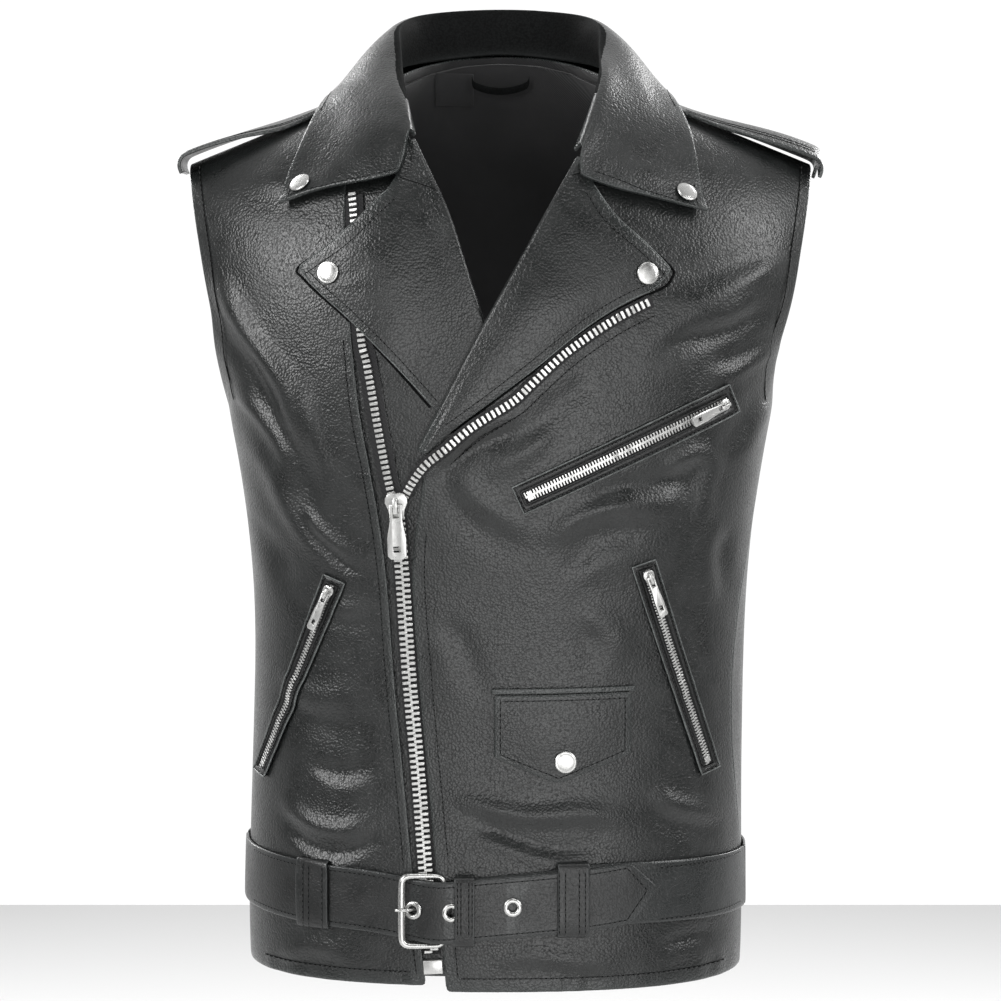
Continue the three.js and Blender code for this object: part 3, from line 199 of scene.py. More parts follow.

# %% [markdown]
# ## Creases
# Soft leather gathers into ridges and troughs under the arms, beside the zip and over the belt. A cloth
# simulation could make them, but wouldn't put them where the photograph has them. So each is a line of
# points in x and z with a width and a height, placed one by one, a little uneven. The back has its own of
# the same kind. They are held flat round the hard trim, which doesn't bend.

# %% Where the creases lie
CREASES = {
    "front": [
        ([(-196, -120), (-168, -172), (-142, -214), (-124, -262)], 9, 2.6),
        ([(-192, -168), (-160, -214), (-136, -250), (-120, -300)], 7, -2.2),
        ([(-186, -206), (-152, -236), (-128, -276)], 6, 1.8),
        ([(-180, -240), (-150, -266), (-124, -316), (-112, -330)], 7, 1.5),
        ([(-174, -292), (-150, -318), (-138, -352)], 8, -1.6),
        ([(-134, -200), (-118, -244), (-104, -300)], 6, 1.2),
        ([(-128, -282), (-110, -306), (-92, -318)], 4.5, 1.4),
        ([(-126, -300), (-106, -320), (-88, -330)], 4, -1.0),
        ([(-122, -344), (-104, -352), (-86, -350)], 5, 0.9),
        ([(-150, -396), (-118, -412), (-84, -412)], 9, 1.4),
        ([(-128, -452), (-104, -462), (-78, -460)], 6, -1.2),
        ([(-158, -484), (-124, -498), (-92, -498), (-76, -490)], 6, 2.0),
        ([(-150, -504), (-118, -514), (-84, -510)], 4.5, -1.4),
        ([(-160, -590), (-120, -580), (-84, -588)], 6, 1.0),
        ([(196, -112), (164, -140), (128, -152), (98, -158)], 9, 2.2),
        ([(192, -148), (160, -168), (128, -176), (92, -196)], 7, -2.0),
        ([(188, -176), (158, -196), (130, -204)], 6, 1.6),
        ([(186, -214), (168, -236), (164, -268)], 8, 1.8),
        ([(60, -196), (36, -214), (14, -236)], 10, -1.2),
        ([(-30, -262), (-4, -288), (30, -300)], 9, 1.4),
        ([(22, -306), (58, -288), (96, -286), (126, -300)], 8, 2.0),
        ([(34, -326), (66, -308), (104, -308)], 8, -1.2),
        ([(50, -284), (84, -271), (118, -272), (142, -290)], 7, -1.7),
        ([(104, -264), (136, -256), (158, -266)], 6, 1.5),
        ([(20, -223), (-8, -241), (-32, -262), (-38, -282)], 6, -1.8),
        ([(38, -226), (12, -247), (-14, -270)], 7, 1.3),
        ([(150, -254), (136, -284), (140, -316)], 7, 1.5),
        ([(160, -300), (148, -330), (148, -366)], 7, -1.4),
        ([(46, -346), (70, -366), (84, -394)], 10, 1.3),
        ([(-44, -360), (-22, -384), (-12, -420)], 10, -1.0),
        ([(-40, -478), (-8, -488), (40, -486), (96, -496)], 6, 1.8),
        ([(-30, -500), (20, -506), (80, -512)], 5, -1.5),
        ([(96, -476), (122, -494), (152, -500)], 7, 1.7),
        ([(-8, -588), (40, -582), (96, -590)], 6, 1.1),
        ([(104, -584), (132, -578), (158, -586)], 5, -1.0),
        ([(60, -60), (92, -66), (140, -84)], 9, 0.9),
        ([(-176, -66), (-140, -72), (-112, -66)], 9, 1.0),
    ],
    "back": [
        ([(-196, -110), (-160, -166), (-120, -216), (-66, -252)], 11, 3.0),
        ([(-186, -160), (-150, -206), (-104, -250)], 8, -2.6),
        ([(-184, -196), (-150, -236), (-112, -282)], 8, 2.2),
        ([(-172, -240), (-136, -280), (-86, -306)], 9, -1.8),
        ([(194, -120), (158, -170), (118, -214), (72, -240)], 11, 2.8),
        ([(188, -166), (150, -206), (96, -246)], 8, -2.4),
        ([(180, -206), (146, -246), (96, -284)], 8, 2.0),
        ([(170, -262), (140, -296), (110, -312)], 7, -1.5),
        ([(-150, -386), (-96, -404), (-20, -398)], 10, 1.8),
        ([(-126, -426), (-60, -438), (20, -430)], 8, -2.0),
        ([(-110, -462), (-40, -476), (40, -468), (96, -474)], 8, 2.3),
        ([(-30, -446), (50, -452), (132, -440)], 8, 1.6),
        ([(-140, -494), (-80, -506), (-20, -500)], 6, 1.6),
        ([(10, -498), (80, -508), (140, -500)], 6, -1.6),
        ([(-150, -588), (-80, -580), (-10, -590)], 7, 1.2),
        ([(20, -584), (84, -590), (140, -582)], 7, -1.1),
        ([(-70, -40), (-20, -52), (60, -44)], 12, -1.4),
        ([(-6, -96), (4, -200), (-4, -330)], 16, -1.2),
    ],
}
# Fine puckers along seams: a line, how far they reach, how high, and how long a wave is
PUCKERS = {
    "front": [
        ([(-58, -300), (-54, -398), (-43, -522)], 9, 0.35, 17),
        ([(-50, -258), (-7, -226), (60, -176), (100, -152)], 9, 0.4, 15),
        ([(-98, -100), (-92, -227), (-76, -324), (-63, -479)], 9, 0.35, 16),
        ([(-160, -598), (0, -602), (160, -598)], 9, 0.45, 19),
        ([(150, -218), (80, -246), (14, -276)], 13, 0.35, 14),
        ([(95, -326), (140, -466)], 12, 0.35, 14),
        ([(-110, -336), (-162, -470)], 12, 0.35, 14),
    ],
    "back": [
        ([(-160, -598), (0, -602), (160, -598)], 9, 0.5, 21),
    ],
}
# Where the trim holds the cloth flat: x, z and radius
HARD = [(-68, -283, 13), (-113, -343, 12), (97, -332, 12), (144, -219, 12), (-50, -552, 30), (-45, -588, 10),
        (-112, -131, 12), (93, -132, 12), (42.5, -453.5, 12), (-32, -552, 10), (8, -551, 10)]

# %% Distance from a line
def smooth(points, count):
    """A smooth line through points, as a number of points spaced evenly."""
    p = np.array(points, float)
    ends = np.vstack([2 * p[0] - p[1], p, 2 * p[-1] - p[-2]])
    fine = []
    for a, b, c, d in zip(ends, ends[1:], ends[2:], ends[3:]):
        for t in np.linspace(0, 1, 16, endpoint=False):
            bend = (2 * a - 5 * b + 4 * c - d) * t**2 + (3 * b - 3 * c + d - a) * t**3
            fine.append(0.5 * (2 * b + (c - a) * t + bend))
    fine = np.array(fine + [p[-1]])
    run = np.concatenate([[0], np.cumsum(np.linalg.norm(np.diff(fine, axis=0), axis=1))])
    at = np.linspace(0, run[-1], count)
    return np.stack([np.interp(at, run, fine[:, k]) for k in range(p.shape[1])], axis=1)


def beside(points, x, z):
    """Signed distance from a line, and how far along it, for many places at once."""
    line = smooth(points, 9)
    best = np.full(len(x), 1e9)
    signed = np.zeros(len(x))
    run = np.zeros(len(x))
    total = 0.0
    for (ax, az), (bx, bz) in zip(line, line[1:]):
        dx, dz = bx - ax, bz - az
        long = math.hypot(dx, dz)
        t = np.clip(((x - ax) * dx + (z - az) * dz) / long**2, 0, 1)
        away = np.hypot(x - ax - t * dx, z - az - t * dz)
        side = np.sign((x - ax) * dz - (z - az) * dx)
        nearer = away < best
        best = np.where(nearer, away, best)
        signed = np.where(nearer, away * side, signed)
        run = np.where(nearer, total + t * long, run)
        total += long
    return signed, run / total, total

# %% Relief of the creases
CREASE_DEPTH = 1.45


def relief(face, x, z):
    """Height of the creases at places on a face."""
    wx = x + 3 * np.sin(z / 23 + 1.3) + 1.6 * np.sin(z / 9.1 + x / 31)
    wz = z + 3 * np.sin(x / 27) + 1.5 * np.sin(x / 11 + z / 37)
    height = 0.45 * np.sin(x / 34 + z / 51) * np.sin(z / 43 - x / 60 + 2)
    height += 0.18 * np.sin(x / 13 + 1.1 * np.sin(z / 17)) * np.sin(z / 15)
    for points, width, high in CREASES[face]:
        reach = 4 * width
        line = np.array(points)
        near = ((wx > line[:, 0].min() - reach) & (wx < line[:, 0].max() + reach)
                & (wz > line[:, 1].min() - reach) & (wz < line[:, 1].max() + reach))
        if not near.any():
            continue
        off, along, _ = beside(points, wx[near], wz[near])
        wide = width * (0.8 + 0.45 * along)
        shape = bell(off, 0, wide) - 0.5 * bell(off, 1.5 * wide, 1.1 * wide)
        height[near] += CREASE_DEPTH * high * shape * ease(0, 0.3, along) * ease(1, 0.6, along)
    for points, reach, high, wave in PUCKERS[face]:
        off, along, total = beside(points, x, z)
        turn = 2 * np.pi * along * total / wave
        wave_shape = np.sin(turn + 1.4 * np.sin(turn * 0.37)) * (0.6 + 0.4 * np.sin(turn * 0.21))
        height += high * bell(off, 0, reach) * wave_shape
    for hx, hz, radius in HARD if face == "front" else []:
        height *= 1 - np.exp(-(np.hypot(x - hx, z - hz) / radius) ** 4)
    return height


def push(points):
    """Points in millimetres, moved out or in by the creases of their side."""
    p = np.asarray(points, float)
    height = np.zeros(len(p))
    for face, here in (("front", p[:, 1] < 0), ("back", p[:, 1] >= 0)):
        if here.any():
            height[here] = relief(face, p[here, 0], p[here, 2]) * ease(8, 55, np.abs(p[here, 1]))
    return p + outward(p) * height[:, None]


def place(face, x, z, lift, left=False):
    """Points over the creased cloth, and the directions out of it."""
    x, z = np.atleast_1d(np.asarray(x, float)), np.atleast_1d(np.asarray(z, float))
    lift = np.broadcast_to(np.asarray(lift, float), x.shape)
    base = np.stack([x, surface_y(face, x, z), z], axis=1)
    out = outward(base)
    up = lift + fold_height(face, base) + (crossing(x, z) if left else 0)
    return push(base + out * up[:, None]), out


print("creases:", {face: len(lines) for face, lines in CREASES.items()})

# %% [markdown]
# ## Materials
# The vest is pebbled black leather with a soft shine, dull on its inner side, with a dark twill lining
# and bright metal. A pale leather is a painted highlight on rolled rims, and the dull near-black one
# also paints shade and shadows. Pictures of leather would need an unwrapped mesh. Nodes on object
# coordinates need none and stay put from every side. A small class wraps a shader's sockets, so the
# maths reads as maths.

# %% A socket and a shader
class Socket:
    """An output of a shader node that takes part in sums."""

    def __init__(self, shader, out):
        self.shader = shader
        self.out = out

    def maths(self, operation, *others):
        return self.shader.node("ShaderNodeMath", (self, *others), operation=operation)

    def __add__(self, other):
        return self.maths("ADD", other)

    def __mul__(self, other):
        return self.maths("MULTIPLY", other)

    def __sub__(self, other):
        return self.maths("SUBTRACT", other)

    def __pow__(self, other):
        return self.maths("POWER", other)

    def __rsub__(self, other):
        return self.shader.node("ShaderNodeMath", (other, self), operation="SUBTRACT")

    __radd__ = __add__
    __rmul__ = __mul__

    def between(self, low, high, to_low=0.0, to_high=1.0):
        return self.shader.node("ShaderNodeMapRange", (self, low, high, to_low, to_high), clamp=True)


class Shader:
    """A material and the nodes that it is made of."""

    def __init__(self, name, colour, roughness, metallic=0.0, **fixed):
        self.material = bpy.data.materials.new(name)
        self.material.use_nodes = True
        self.tree = self.material.node_tree
        self.surface = self.tree.nodes["Principled BSDF"]
        self.give("Base Color", (*colour, 1))
        self.give("Roughness", roughness)
        self.give("Metallic", metallic)
        for key, value in fixed.items():
            self.give(key.replace("_", " "), value)
        self.place = self.node("ShaderNodeTexCoord", output="Object")

    def give(self, name, value):
        self.fill(self.surface.inputs[name], value)

    def fill(self, socket, value):
        if isinstance(value, Socket):
            self.tree.links.new(value.out, socket)
        else:
            socket.default_value = value

    def node(self, kind, inputs=(), output=0, **settings):
        made = self.tree.nodes.new(kind)
        for key, value in settings.items():
            setattr(made, key, value)
        for key, value in inputs.items() if isinstance(inputs, dict) else enumerate(inputs):
            self.fill(made.inputs[key], value)
        return Socket(self, made.outputs[output])

    def noise(self, scale, detail=2.0, where=None, **settings):
        inputs = {"Vector": where or self.place, "Scale": scale, "Detail": detail}
        return self.node("ShaderNodeTexNoise", inputs, **settings)

    def mix(self, factor, a, b):
        made = {0: factor, 6: a if isinstance(a, Socket) else (*a, 1), 7: b if isinstance(b, Socket) else (*b, 1)}
        return self.node("ShaderNodeMix", made, output=2, data_type="RGBA")

    def bump(self, height, distance, strength=1.0, normal=None):
        inputs = {"Height": height, "Distance": distance, "Strength": strength}
        if normal:
            inputs["Normal"] = normal
        return self.node("ShaderNodeBump", inputs)

    def worn(self, name="rim"):
        return self.node("ShaderNodeAttribute", output="Fac", attribute_name=name)

# %% [markdown]
# ### Leather, twill and metal
# Pebbled leather is small rounded cells with darker gaps. A displaced mesh would need millions of faces,
# so a smooth cell pattern on stirred coordinates gives the height of a bump and the tone of the gaps.
# Twill is two slanting waves, and the plated metal has faint clouds and scratches in its gloss.

# %% Leather, twill and metal
def leather(name, colour, light, roughness, grain=600.0, depth=0.00018, shine=0.5):
    """Pebbled grain with darker gaps, a gloss that drifts, and rims that are worn lighter."""
    s = Shader(name, colour, roughness, Specular_IOR_Level=shine, Coat_Roughness=0.3)
    drift = s.noise(55, 3)
    stir = s.node("ShaderNodeVectorMath", (s.noise(260, 2, output="Color"), (0.0012,) * 3), operation="MULTIPLY")
    warped = s.node("ShaderNodeVectorMath", (s.place, stir), operation="ADD")
    inputs = {"Vector": warped, "Scale": grain, "Randomness": 0.9, "Smoothness": 0.3}
    cells = s.node("ShaderNodeTexVoronoi", inputs, feature="SMOOTH_F1")
    pebble = 1.0 - cells**2.0 * 1.6
    fine = s.noise(grain * 2.4, 2)
    wrinkle = s.noise(70, 3)
    rim = s.worn() ** 5.0
    tone = s.mix(drift.between(0.35, 0.7), colour, light)
    tone = s.mix(pebble.between(0.3, 0.95, 0.7, 0.0), tone, tuple(c * 0.3 for c in colour))
    s.give("Base Color", s.mix(rim * 0.5, tone, tuple(c * 3.0 for c in light)))
    gloss = drift.between(0.3, 0.75, roughness - 0.05, roughness + 0.08)
    s.give("Roughness", gloss - rim * 0.08 + pebble.between(0.2, 0.9, 0.1, 0.0))
    s.give("Coat Weight", drift.between(0.4, 0.8, 0.02, 0.12) * (shine * 2.0))
    low = s.bump(wrinkle, 0.0008, 0.4)
    s.give("Normal", s.bump(pebble + fine * 0.3, depth, 1.0, low))
    return s.material


def twill(name, colour, light, roughness, pitch=6800.0, depth=0.00008):
    """A slanting weave of fine threads."""
    s = Shader(name, colour, roughness, Sheen_Weight=0.25, Sheen_Roughness=0.5, Specular_IOR_Level=0.3)
    apart = s.node("ShaderNodeSeparateXYZ", (s.place,))
    x, y, z = (Socket(s, apart.out.node.outputs[i]) for i in range(3))
    slant = ((x + z + y * 0.6) * pitch).maths("SINE")
    cross = ((z - x) * (pitch * 2.0)).maths("SINE")
    weave = slant * 0.7 + cross * 0.3
    soft = s.noise(30, 3)
    s.give("Base Color", s.mix(weave.between(-1, 1) * soft.between(0.3, 0.8, 0.6, 1.0), colour, light))
    s.give("Roughness", soft.between(0.3, 0.8, roughness - 0.1, roughness + 0.08))
    s.give("Normal", s.bump(weave, depth, 0.8, s.bump(soft, 0.002, 0.6)))
    return s.material


def metal(name, colour, roughness, stain, metallic):
    """Plated metal with faint clouds and scratches."""
    s = Shader(name, colour, roughness, metallic)
    cloud = s.noise(260, 4)
    scratch = s.noise(1400, 2)
    s.give("Base Color", s.mix(cloud.between(0.45, 0.8), colour, stain))
    gloss = cloud.between(0.3, 0.75, roughness - 0.05, roughness + 0.1)
    s.give("Roughness", gloss + scratch.between(0.5, 0.8, 0.0, 0.08))
    s.give("Normal", s.bump(cloud + scratch * 0.3, 0.00006, 0.5))
    return s.material

# %% The finishes
LEATHER = leather("pebbled_leather", (0.0072, 0.0084, 0.0082), (0.0115, 0.013, 0.0127), 0.29)
BELT = leather("belt_leather", (0.0046, 0.0053, 0.0053), (0.0078, 0.0087, 0.0087), 0.35, 680.0, 0.00012)
# Near-black and dull: the leather's inner side, seams and the hanging loop, and also painted shade and painted shadow
DULL_AND_SHADE_LEATHER = leather("dull_leather_and_painted_shade", (0.003, 0.0034, 0.0034), (0.005, 0.0055, 0.0055), 0.8, 680.0, 0.0001, 0.08)
# Far lighter than the leather: a painted highlight for rolled rims that catch the light
EDGE_HIGHLIGHT_LEATHER = leather("painted_highlight_leather", (0.075, 0.082, 0.08), (0.14, 0.15, 0.148), 0.3, 900.0, 0.00006)
LINING = twill("lining_twill", (0.0035, 0.0035, 0.004), (0.009, 0.009, 0.0095), 0.72)
TAPE = twill("zip_tape", (0.006, 0.006, 0.0065), (0.016, 0.016, 0.017), 0.8, 2600.0)
THREAD = twill("sewing_thread", (0.006, 0.0065, 0.0065), (0.028, 0.030, 0.030), 0.5, 5200.0, 0.00005)
NICKEL = metal("polished_nickel", (0.52, 0.52, 0.51), 0.25, (0.4, 0.4, 0.39), 0.9)
ZIP_METAL = metal("zip_metal", (0.56, 0.56, 0.55), 0.3, (0.42, 0.42, 0.41), 0.8)

print("finishes:", [m.name for m in (LEATHER, BELT, DULL_AND_SHADE_LEATHER, EDGE_HIGHLIGHT_LEATHER, LINING, TAPE, THREAD, NICKEL, ZIP_METAL)])

# %% [markdown]
# ## Making shells
# Each panel of the real vest is one piece of leather, about 2 mm thick. A new sheet could be modelled for
# it, but its solid already has the right cut and place. So a shell starts as a copy of the solid: the
# loose triangles are merged and joined to quads, rounded by subdivision with firm rims, and then every
# point is moved by the creases. Points keep a number that is high at the rim, for the wear shown there.

# %% Helpers for meshes
def settle(obj):
    """Puts an object's modifiers into its mesh."""
    graph = bpy.context.evaluated_depsgraph_get()
    mesh = bpy.data.meshes.new_from_object(obj.evaluated_get(graph))
    obj.modifiers.clear()
    obj.data = mesh
    return obj


def new_object(name, bm, material):
    mesh = bpy.data.meshes.new(name)
    bm.to_mesh(mesh)
    bm.free()
    mesh.materials.append(material)
    obj = bpy.data.objects.new(name, mesh)
    bpy.context.scene.collection.objects.link(obj)
    return obj


def points_of(obj):
    flat = np.empty(len(obj.data.vertices) * 3)
    obj.data.vertices.foreach_get("co", flat)
    return flat.reshape(-1, 3) / MM


def set_points(obj, points):
    obj.data.vertices.foreach_set("co", (np.asarray(points) * MM).ravel())
    obj.data.update()


def shade(obj, angle=50):
    obj.data.shade_smooth()
    obj.data.set_sharp_from_angle(angle=math.radians(angle))
    return obj

# %% From solid to shell
def merged(node, merge=2e-6):
    bm = bmesh.new()
    bm.from_mesh(nodes[node].data)
    bmesh.ops.remove_doubles(bm, verts=bm.verts, dist=merge)
    return bm


FIRM_EDGE = math.radians(48)


def shell(name, node, material, level=3, firm=0.45, lined=False, creased=True):
    """A rounded copy of a node's solid, with its creases, and its lining side where it has one."""
    bm = merged(node)
    flat_to, square_to = math.radians(40), math.radians(80)
    bmesh.ops.join_triangles(bm, faces=bm.faces, angle_face_threshold=flat_to, angle_shape_threshold=square_to)
    crease = bm.edges.layers.float.new("crease_edge")
    rim = bm.verts.layers.float.new("rim")
    for e in bm.edges:
        if len(e.link_faces) == 2 and e.calc_face_angle(0) > FIRM_EDGE:
            e[crease] = firm
            for v in e.verts:
                v[rim] = 1.0
    obj = new_object(name, bm, material)
    rounding = obj.modifiers.new("rounding", "SUBSURF")
    rounding.levels = rounding.render_levels = level
    settle(obj)
    if creased:
        set_points(obj, push(points_of(obj)))
    if lined:
        obj.data.materials.append(LINING)
        centres = np.array([f.center[:] for f in obj.data.polygons]) / MM
        normals = np.array([f.normal[:] for f in obj.data.polygons])
        inside = (normals * outward(centres)).sum(axis=1) < -0.3
        obj.data.polygons.foreach_set("material_index", inside.astype(np.int32))
    return shade(obj)


def finish_piece(obj, replaces, body="vest"):
    """Says which body a piece rides on, and the solids that it stands for."""
    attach(obj, body)
    if replaces:
        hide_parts(*replaces)
    return obj


def half_area(obj):
    return sum(f.area for f in obj.data.polygons) / 2

# %% The cloth pieces
SHELLS = [
    # piece, node, material, level, lined, flat width and length
    ("right_front", "front_right", LEATHER, 3, True, (0.215, 0.62)),
    ("right_facing", "front_right_facing", LEATHER, 2, False, (0.115, 0.62)),
    ("left_front", "front_left", LEATHER, 3, True, (0.335, 0.63)),
    ("back_panel", "back", LEATHER, 3, True, (0.53, 0.64)),
    ("back_lining_sheet", "back_lining", LINING, 2, False, (0.47, 0.62)),
    ("right_lapel", "lapel_right", LEATHER, 3, False, (0.13, 0.25)),
    ("left_lapel", "lapel_left", LEATHER, 3, False, (0.12, 0.27)),
    ("collar_piece", "collar", LEATHER, 3, False, (0.13, 0.56)),
    ("right_strap", "shoulder_strap_right", LEATHER, 3, False, (0.052, 0.14)),
    ("left_strap", "shoulder_strap_left", LEATHER, 3, False, (0.052, 0.14)),
    ("flap_piece", "flap", LEATHER, 3, False, (0.094, 0.064)),
    ("flap_top_welt", "flap_tuck", LEATHER, 3, False, None),
    ("belt_long_part", "belt_strap", BELT, 3, False, (0.042, 0.33)),
    ("belt_left_part", "belt_strip_left", BELT, 3, False, (0.05, 0.27)),
    ("belt_back_part", "belt_back", BELT, 3, False, (0.05, 0.50)),
    ("right_belt_loop", "belt_loop_right", BELT, 3, False, None),
    ("middle_belt_loop", "belt_loop_middle", BELT, 3, False, None),
    ("left_belt_loop", "belt_loop_left", BELT, 3, False, None),
]
made = {}


def darker_inside(obj):
    """The side of the collar that looks into the neck is plain and dull, and its darker colour is painted shade of
    the neck.
    """
    obj.data.materials.append(DULL_AND_SHADE_LEATHER)
    centres = np.array([f.center[:] for f in obj.data.polygons]) / MM
    normals = np.array([f.normal[:] for f in obj.data.polygons])
    inward = np.stack([centres[:, 0], centres[:, 1] + 10, np.zeros(len(centres))], axis=1)
    inward /= np.linalg.norm(inward, axis=1, keepdims=True)
    inside = ((normals * inward).sum(axis=1) < -0.1) & (centres[:, 1] > -60)
    obj.data.polygons.foreach_set("material_index", inside.astype(np.int32))


for name, node, material, level, lined, flat in SHELLS:
    piece = shell(name, node, material, level, lined=lined)
    if node == "collar":
        darker_inside(piece)
    made[name] = finish_piece(piece, [node])
    if flat:
        area = min(half_area(piece), flat[0] * flat[1])
        print(name, len(piece.data.polygons), "area", round(half_area(piece), 4), "of", round(flat[0] * flat[1], 4))

# %% [markdown]
# ## Strips on the cloth
# Pocket welts and zip tapes are narrow bands sewn on the panels. Straight boxes would cut through the
# folds, so each band is a grid laid over the creased form, then given its thickness and a small bevel.

# %% A band and its thickness
def strip(name, grid, material, thickness, bevel=0.35, closed=False):
    """A band through rows of points; its outside is where the rows cross the columns clockwise."""
    rows, cols = grid.shape[:2]
    bm = bmesh.new()
    bmesh.ops.create_grid(bm, x_segments=rows - 1, y_segments=cols - 1, size=0.5)
    rim = bm.verts.layers.float.new("rim")
    for v in bm.verts:
        i = round((v.co.x + 0.5) * (rows - 1))
        j = round((v.co.y + 0.5) * (cols - 1))
        v.co = Vector(grid[i, j]) * MM
        v[rim] = 0.85 if j in (0, cols - 1) or (not closed and i in (0, rows - 1)) else 0.0
    if closed:
        bmesh.ops.remove_doubles(bm, verts=bm.verts, dist=1e-6)
    obj = new_object(name, bm, material)
    solid = obj.modifiers.new("thickness", "SOLIDIFY")
    solid.thickness = thickness * MM
    solid.offset = 1
    if bevel:
        edge = obj.modifiers.new("edge", "BEVEL")
        edge.width = bevel * MM
        edge.segments = 2
        edge.limit_method = "ANGLE"
        edge.angle_limit = math.radians(50)
    return shade(settle(obj), 60)

# %% A path on the cloth
def beside_path(path, offset):
    """Points of a path in x and z, each with a step across it."""
    way = np.gradient(path[:, :2], axis=0)
    way /= np.linalg.norm(way, axis=1, keepdims=True)
    across = np.stack([-way[:, 1], way[:, 0]], axis=1)
    return path[:, :2] + across * offset


def band_on(face, path, widths, lift, count, left=False):
    """Rows of points over the cloth along a path, columns across it."""
    line = smooth(path, count)
    share = np.linspace(0, 1, count)
    width = np.interp(share, np.linspace(0, 1, len(widths)), widths)
    height = np.interp(share, np.linspace(0, 1, len(lift)), lift) if np.ndim(lift) else np.full(count, float(lift))
    grid = []
    for c in (-0.5, 0.0, 0.5):
        side = beside_path(line, 0) + (beside_path(line, 1) - beside_path(line, 0)) * (width * c)[:, None]
        grid.append(place(face, side[:, 0], side[:, 1], height, left)[0])
    return np.stack(grid, axis=1)


# %% [markdown]
# ### Pocket welts
# Each pocket opens between two lips of leather sewn round a zip. Rows of points run round the slot and
# out to the edge, a little crowned, and close into one strip, so the corners need no joint.

# %% Pocket welts
POCKETS = [
    ("hand_right", False, (-109.5, -333.6), (-163, -471.6), (15, 8.6), (8, 5)),
    ("hand_left", True, (94, -322.6), (140, -465.6), (16, 13), (8.4, 6.6)),
    ("chest", True, (154, -214.5), (11.5, -279.5), (20, 19), (9, 9)),
]


def welt_grid(start, end, width, slot, left, shrink=0.0):
    """A rounded frame round a pocket's zip, from its slot out to its edge."""
    a, b = np.array(start), np.array(end)
    long = np.linalg.norm(b - a)
    way = (b - a) / long
    across = np.array([-way[1], way[0]])

    def loop(inset, w0, w1):
        line = []
        for s, side in ((np.linspace(inset, long - inset, 40), 1), (np.linspace(long - inset, inset, 40), -1)):
            half = (w0 + (w1 - w0) * s / long) / 2
            line += [a + way * d + across * side * h for d, h in zip(s, half)]
            turn = line[-1]
            other = a + way * s[-1] - across * side * half[-1]
            line += [turn + (other - turn) * t for t in np.linspace(0, 1, 8)[1:-1]]
        return np.array(line + [line[0]])

    inner, outer = loop(4.0, *slot), loop(0.0, *width)
    grid = []
    for c in np.linspace(0, 1, 7):
        p = inner + (outer - inner) * c
        grid.append(place("front", p[:, 0], p[:, 1], 1.0 + 0.9 * math.sin(math.pi * min(c * 1.05, 1)), left)[0])
    return np.stack(grid[::-1], axis=1)


for name, left, start, end, width, slot in POCKETS:
    welt = strip(name + "_lips", welt_grid(start, end, width, slot, left), BELT, 1.5, 0.4, closed=True)
    made[name + "_lips"] = finish_piece(welt, [name + "_welt"])
    print(name, "welt", len(welt.data.polygons), "faces")

# %% [markdown]
# ## Zips
# Each chain is a woven tape with metal teeth. A closed chain has two rows that mesh, an open one has a
# single row at its edge. An array along a curve could lay them, but a frame worked out for each tooth
# keeps it upright on the cloth, and one small bevelled block copied at the frames stays light.

# %% Copies on frames
def copies(name, part, frames, material):
    """One mesh with a copy of a small part at each frame."""
    small = bpy.data.meshes.new("part")
    part.to_mesh(small)
    part.free()
    bm = bmesh.new()
    for matrix in frames:
        start = len(bm.verts)
        bm.from_mesh(small)
        bm.verts.ensure_lookup_table()
        bmesh.ops.transform(bm, matrix=matrix, verts=bm.verts[start:])
    bpy.data.meshes.remove(small)
    print(name, len(frames), "copies")
    return shade(new_object(name, bm, material), 40)


def block(x, y, z, bevel):
    """A bevelled block that stands on z = 0, sizes in millimetres."""
    bm = bmesh.new()
    bmesh.ops.create_cube(bm, size=1)
    for v in bm.verts:
        v.co = Vector((v.co.x * x, v.co.y * y, (v.co.z + 0.5) * z)) * MM
    bmesh.ops.bevel(bm, geom=bm.edges[:], offset=bevel * MM, segments=1, affect="EDGES", profile=0.5, material=-1)
    return bm


def standing(at, along, out):
    """A frame with y along a line and z out of the cloth; sizes in millimetres."""
    along, out = Vector(along).normalized(), Vector(out).normalized()
    across = along.cross(out).normalized()
    out = across.cross(along)
    turn = Matrix((across, along, out)).transposed().to_4x4()
    return Matrix.Translation(Vector(at) * MM) @ turn


def frames_on(face, path, pitch, lift, left=False, offset=0.0, shift=0.0):
    """Frames at even steps along a path on the cloth; shift starts them half a step on."""
    length = np.linalg.norm(np.diff(smooth(path, 60), axis=0), axis=1).sum()
    count = max(int(length / pitch), 2)
    line = smooth(path, count * 2 + 1)
    centres = beside_path(line, offset)
    height = line[:, 2] if line.shape[1] > 2 else np.zeros(len(line))
    at, out = place(face, centres[:, 0], centres[:, 1], height + lift, left)
    picked = range(1 if shift else 0, len(line) - 1, 2)
    return [standing(at[i], at[min(i + 1, len(at) - 1)] - at[max(i - 1, 0)], out[i]) for i in picked]

# %% The front zip
CLOSED = [(-67.6, -292), (-64.5, -333), (-60.3, -398), (-55, -457), (-50, -523), (-45.6, -582)]
RIGHT_CHAIN = [(-97.5, -80), (-96, -98), (-91.5, -170), (-87.5, -190), (-82, -222), (-77, -250), (-71, -279)]
LEFT_CHAIN = [(-62.5, -277, -1.7), (-58.5, -270, 0.6), (-53, -261.5, 2.4), (-47, -254.5, 3.4), (-35, -245, 3.4),
              (-17, -230, 2.6), (8, -214.5, 1), (22, -201.5, 0.6), (43, -182.5, 0.8), (72.5, -162.5, 0.8),
              (98.5, -149.5, 0.8)]


def left_chain_lift(x, z):
    """The open left chain rides on the raised edge of the left front."""
    return crossing(np.maximum(x, read(LEFT_EDGE, z)), z) * ease(-60, -48, x)


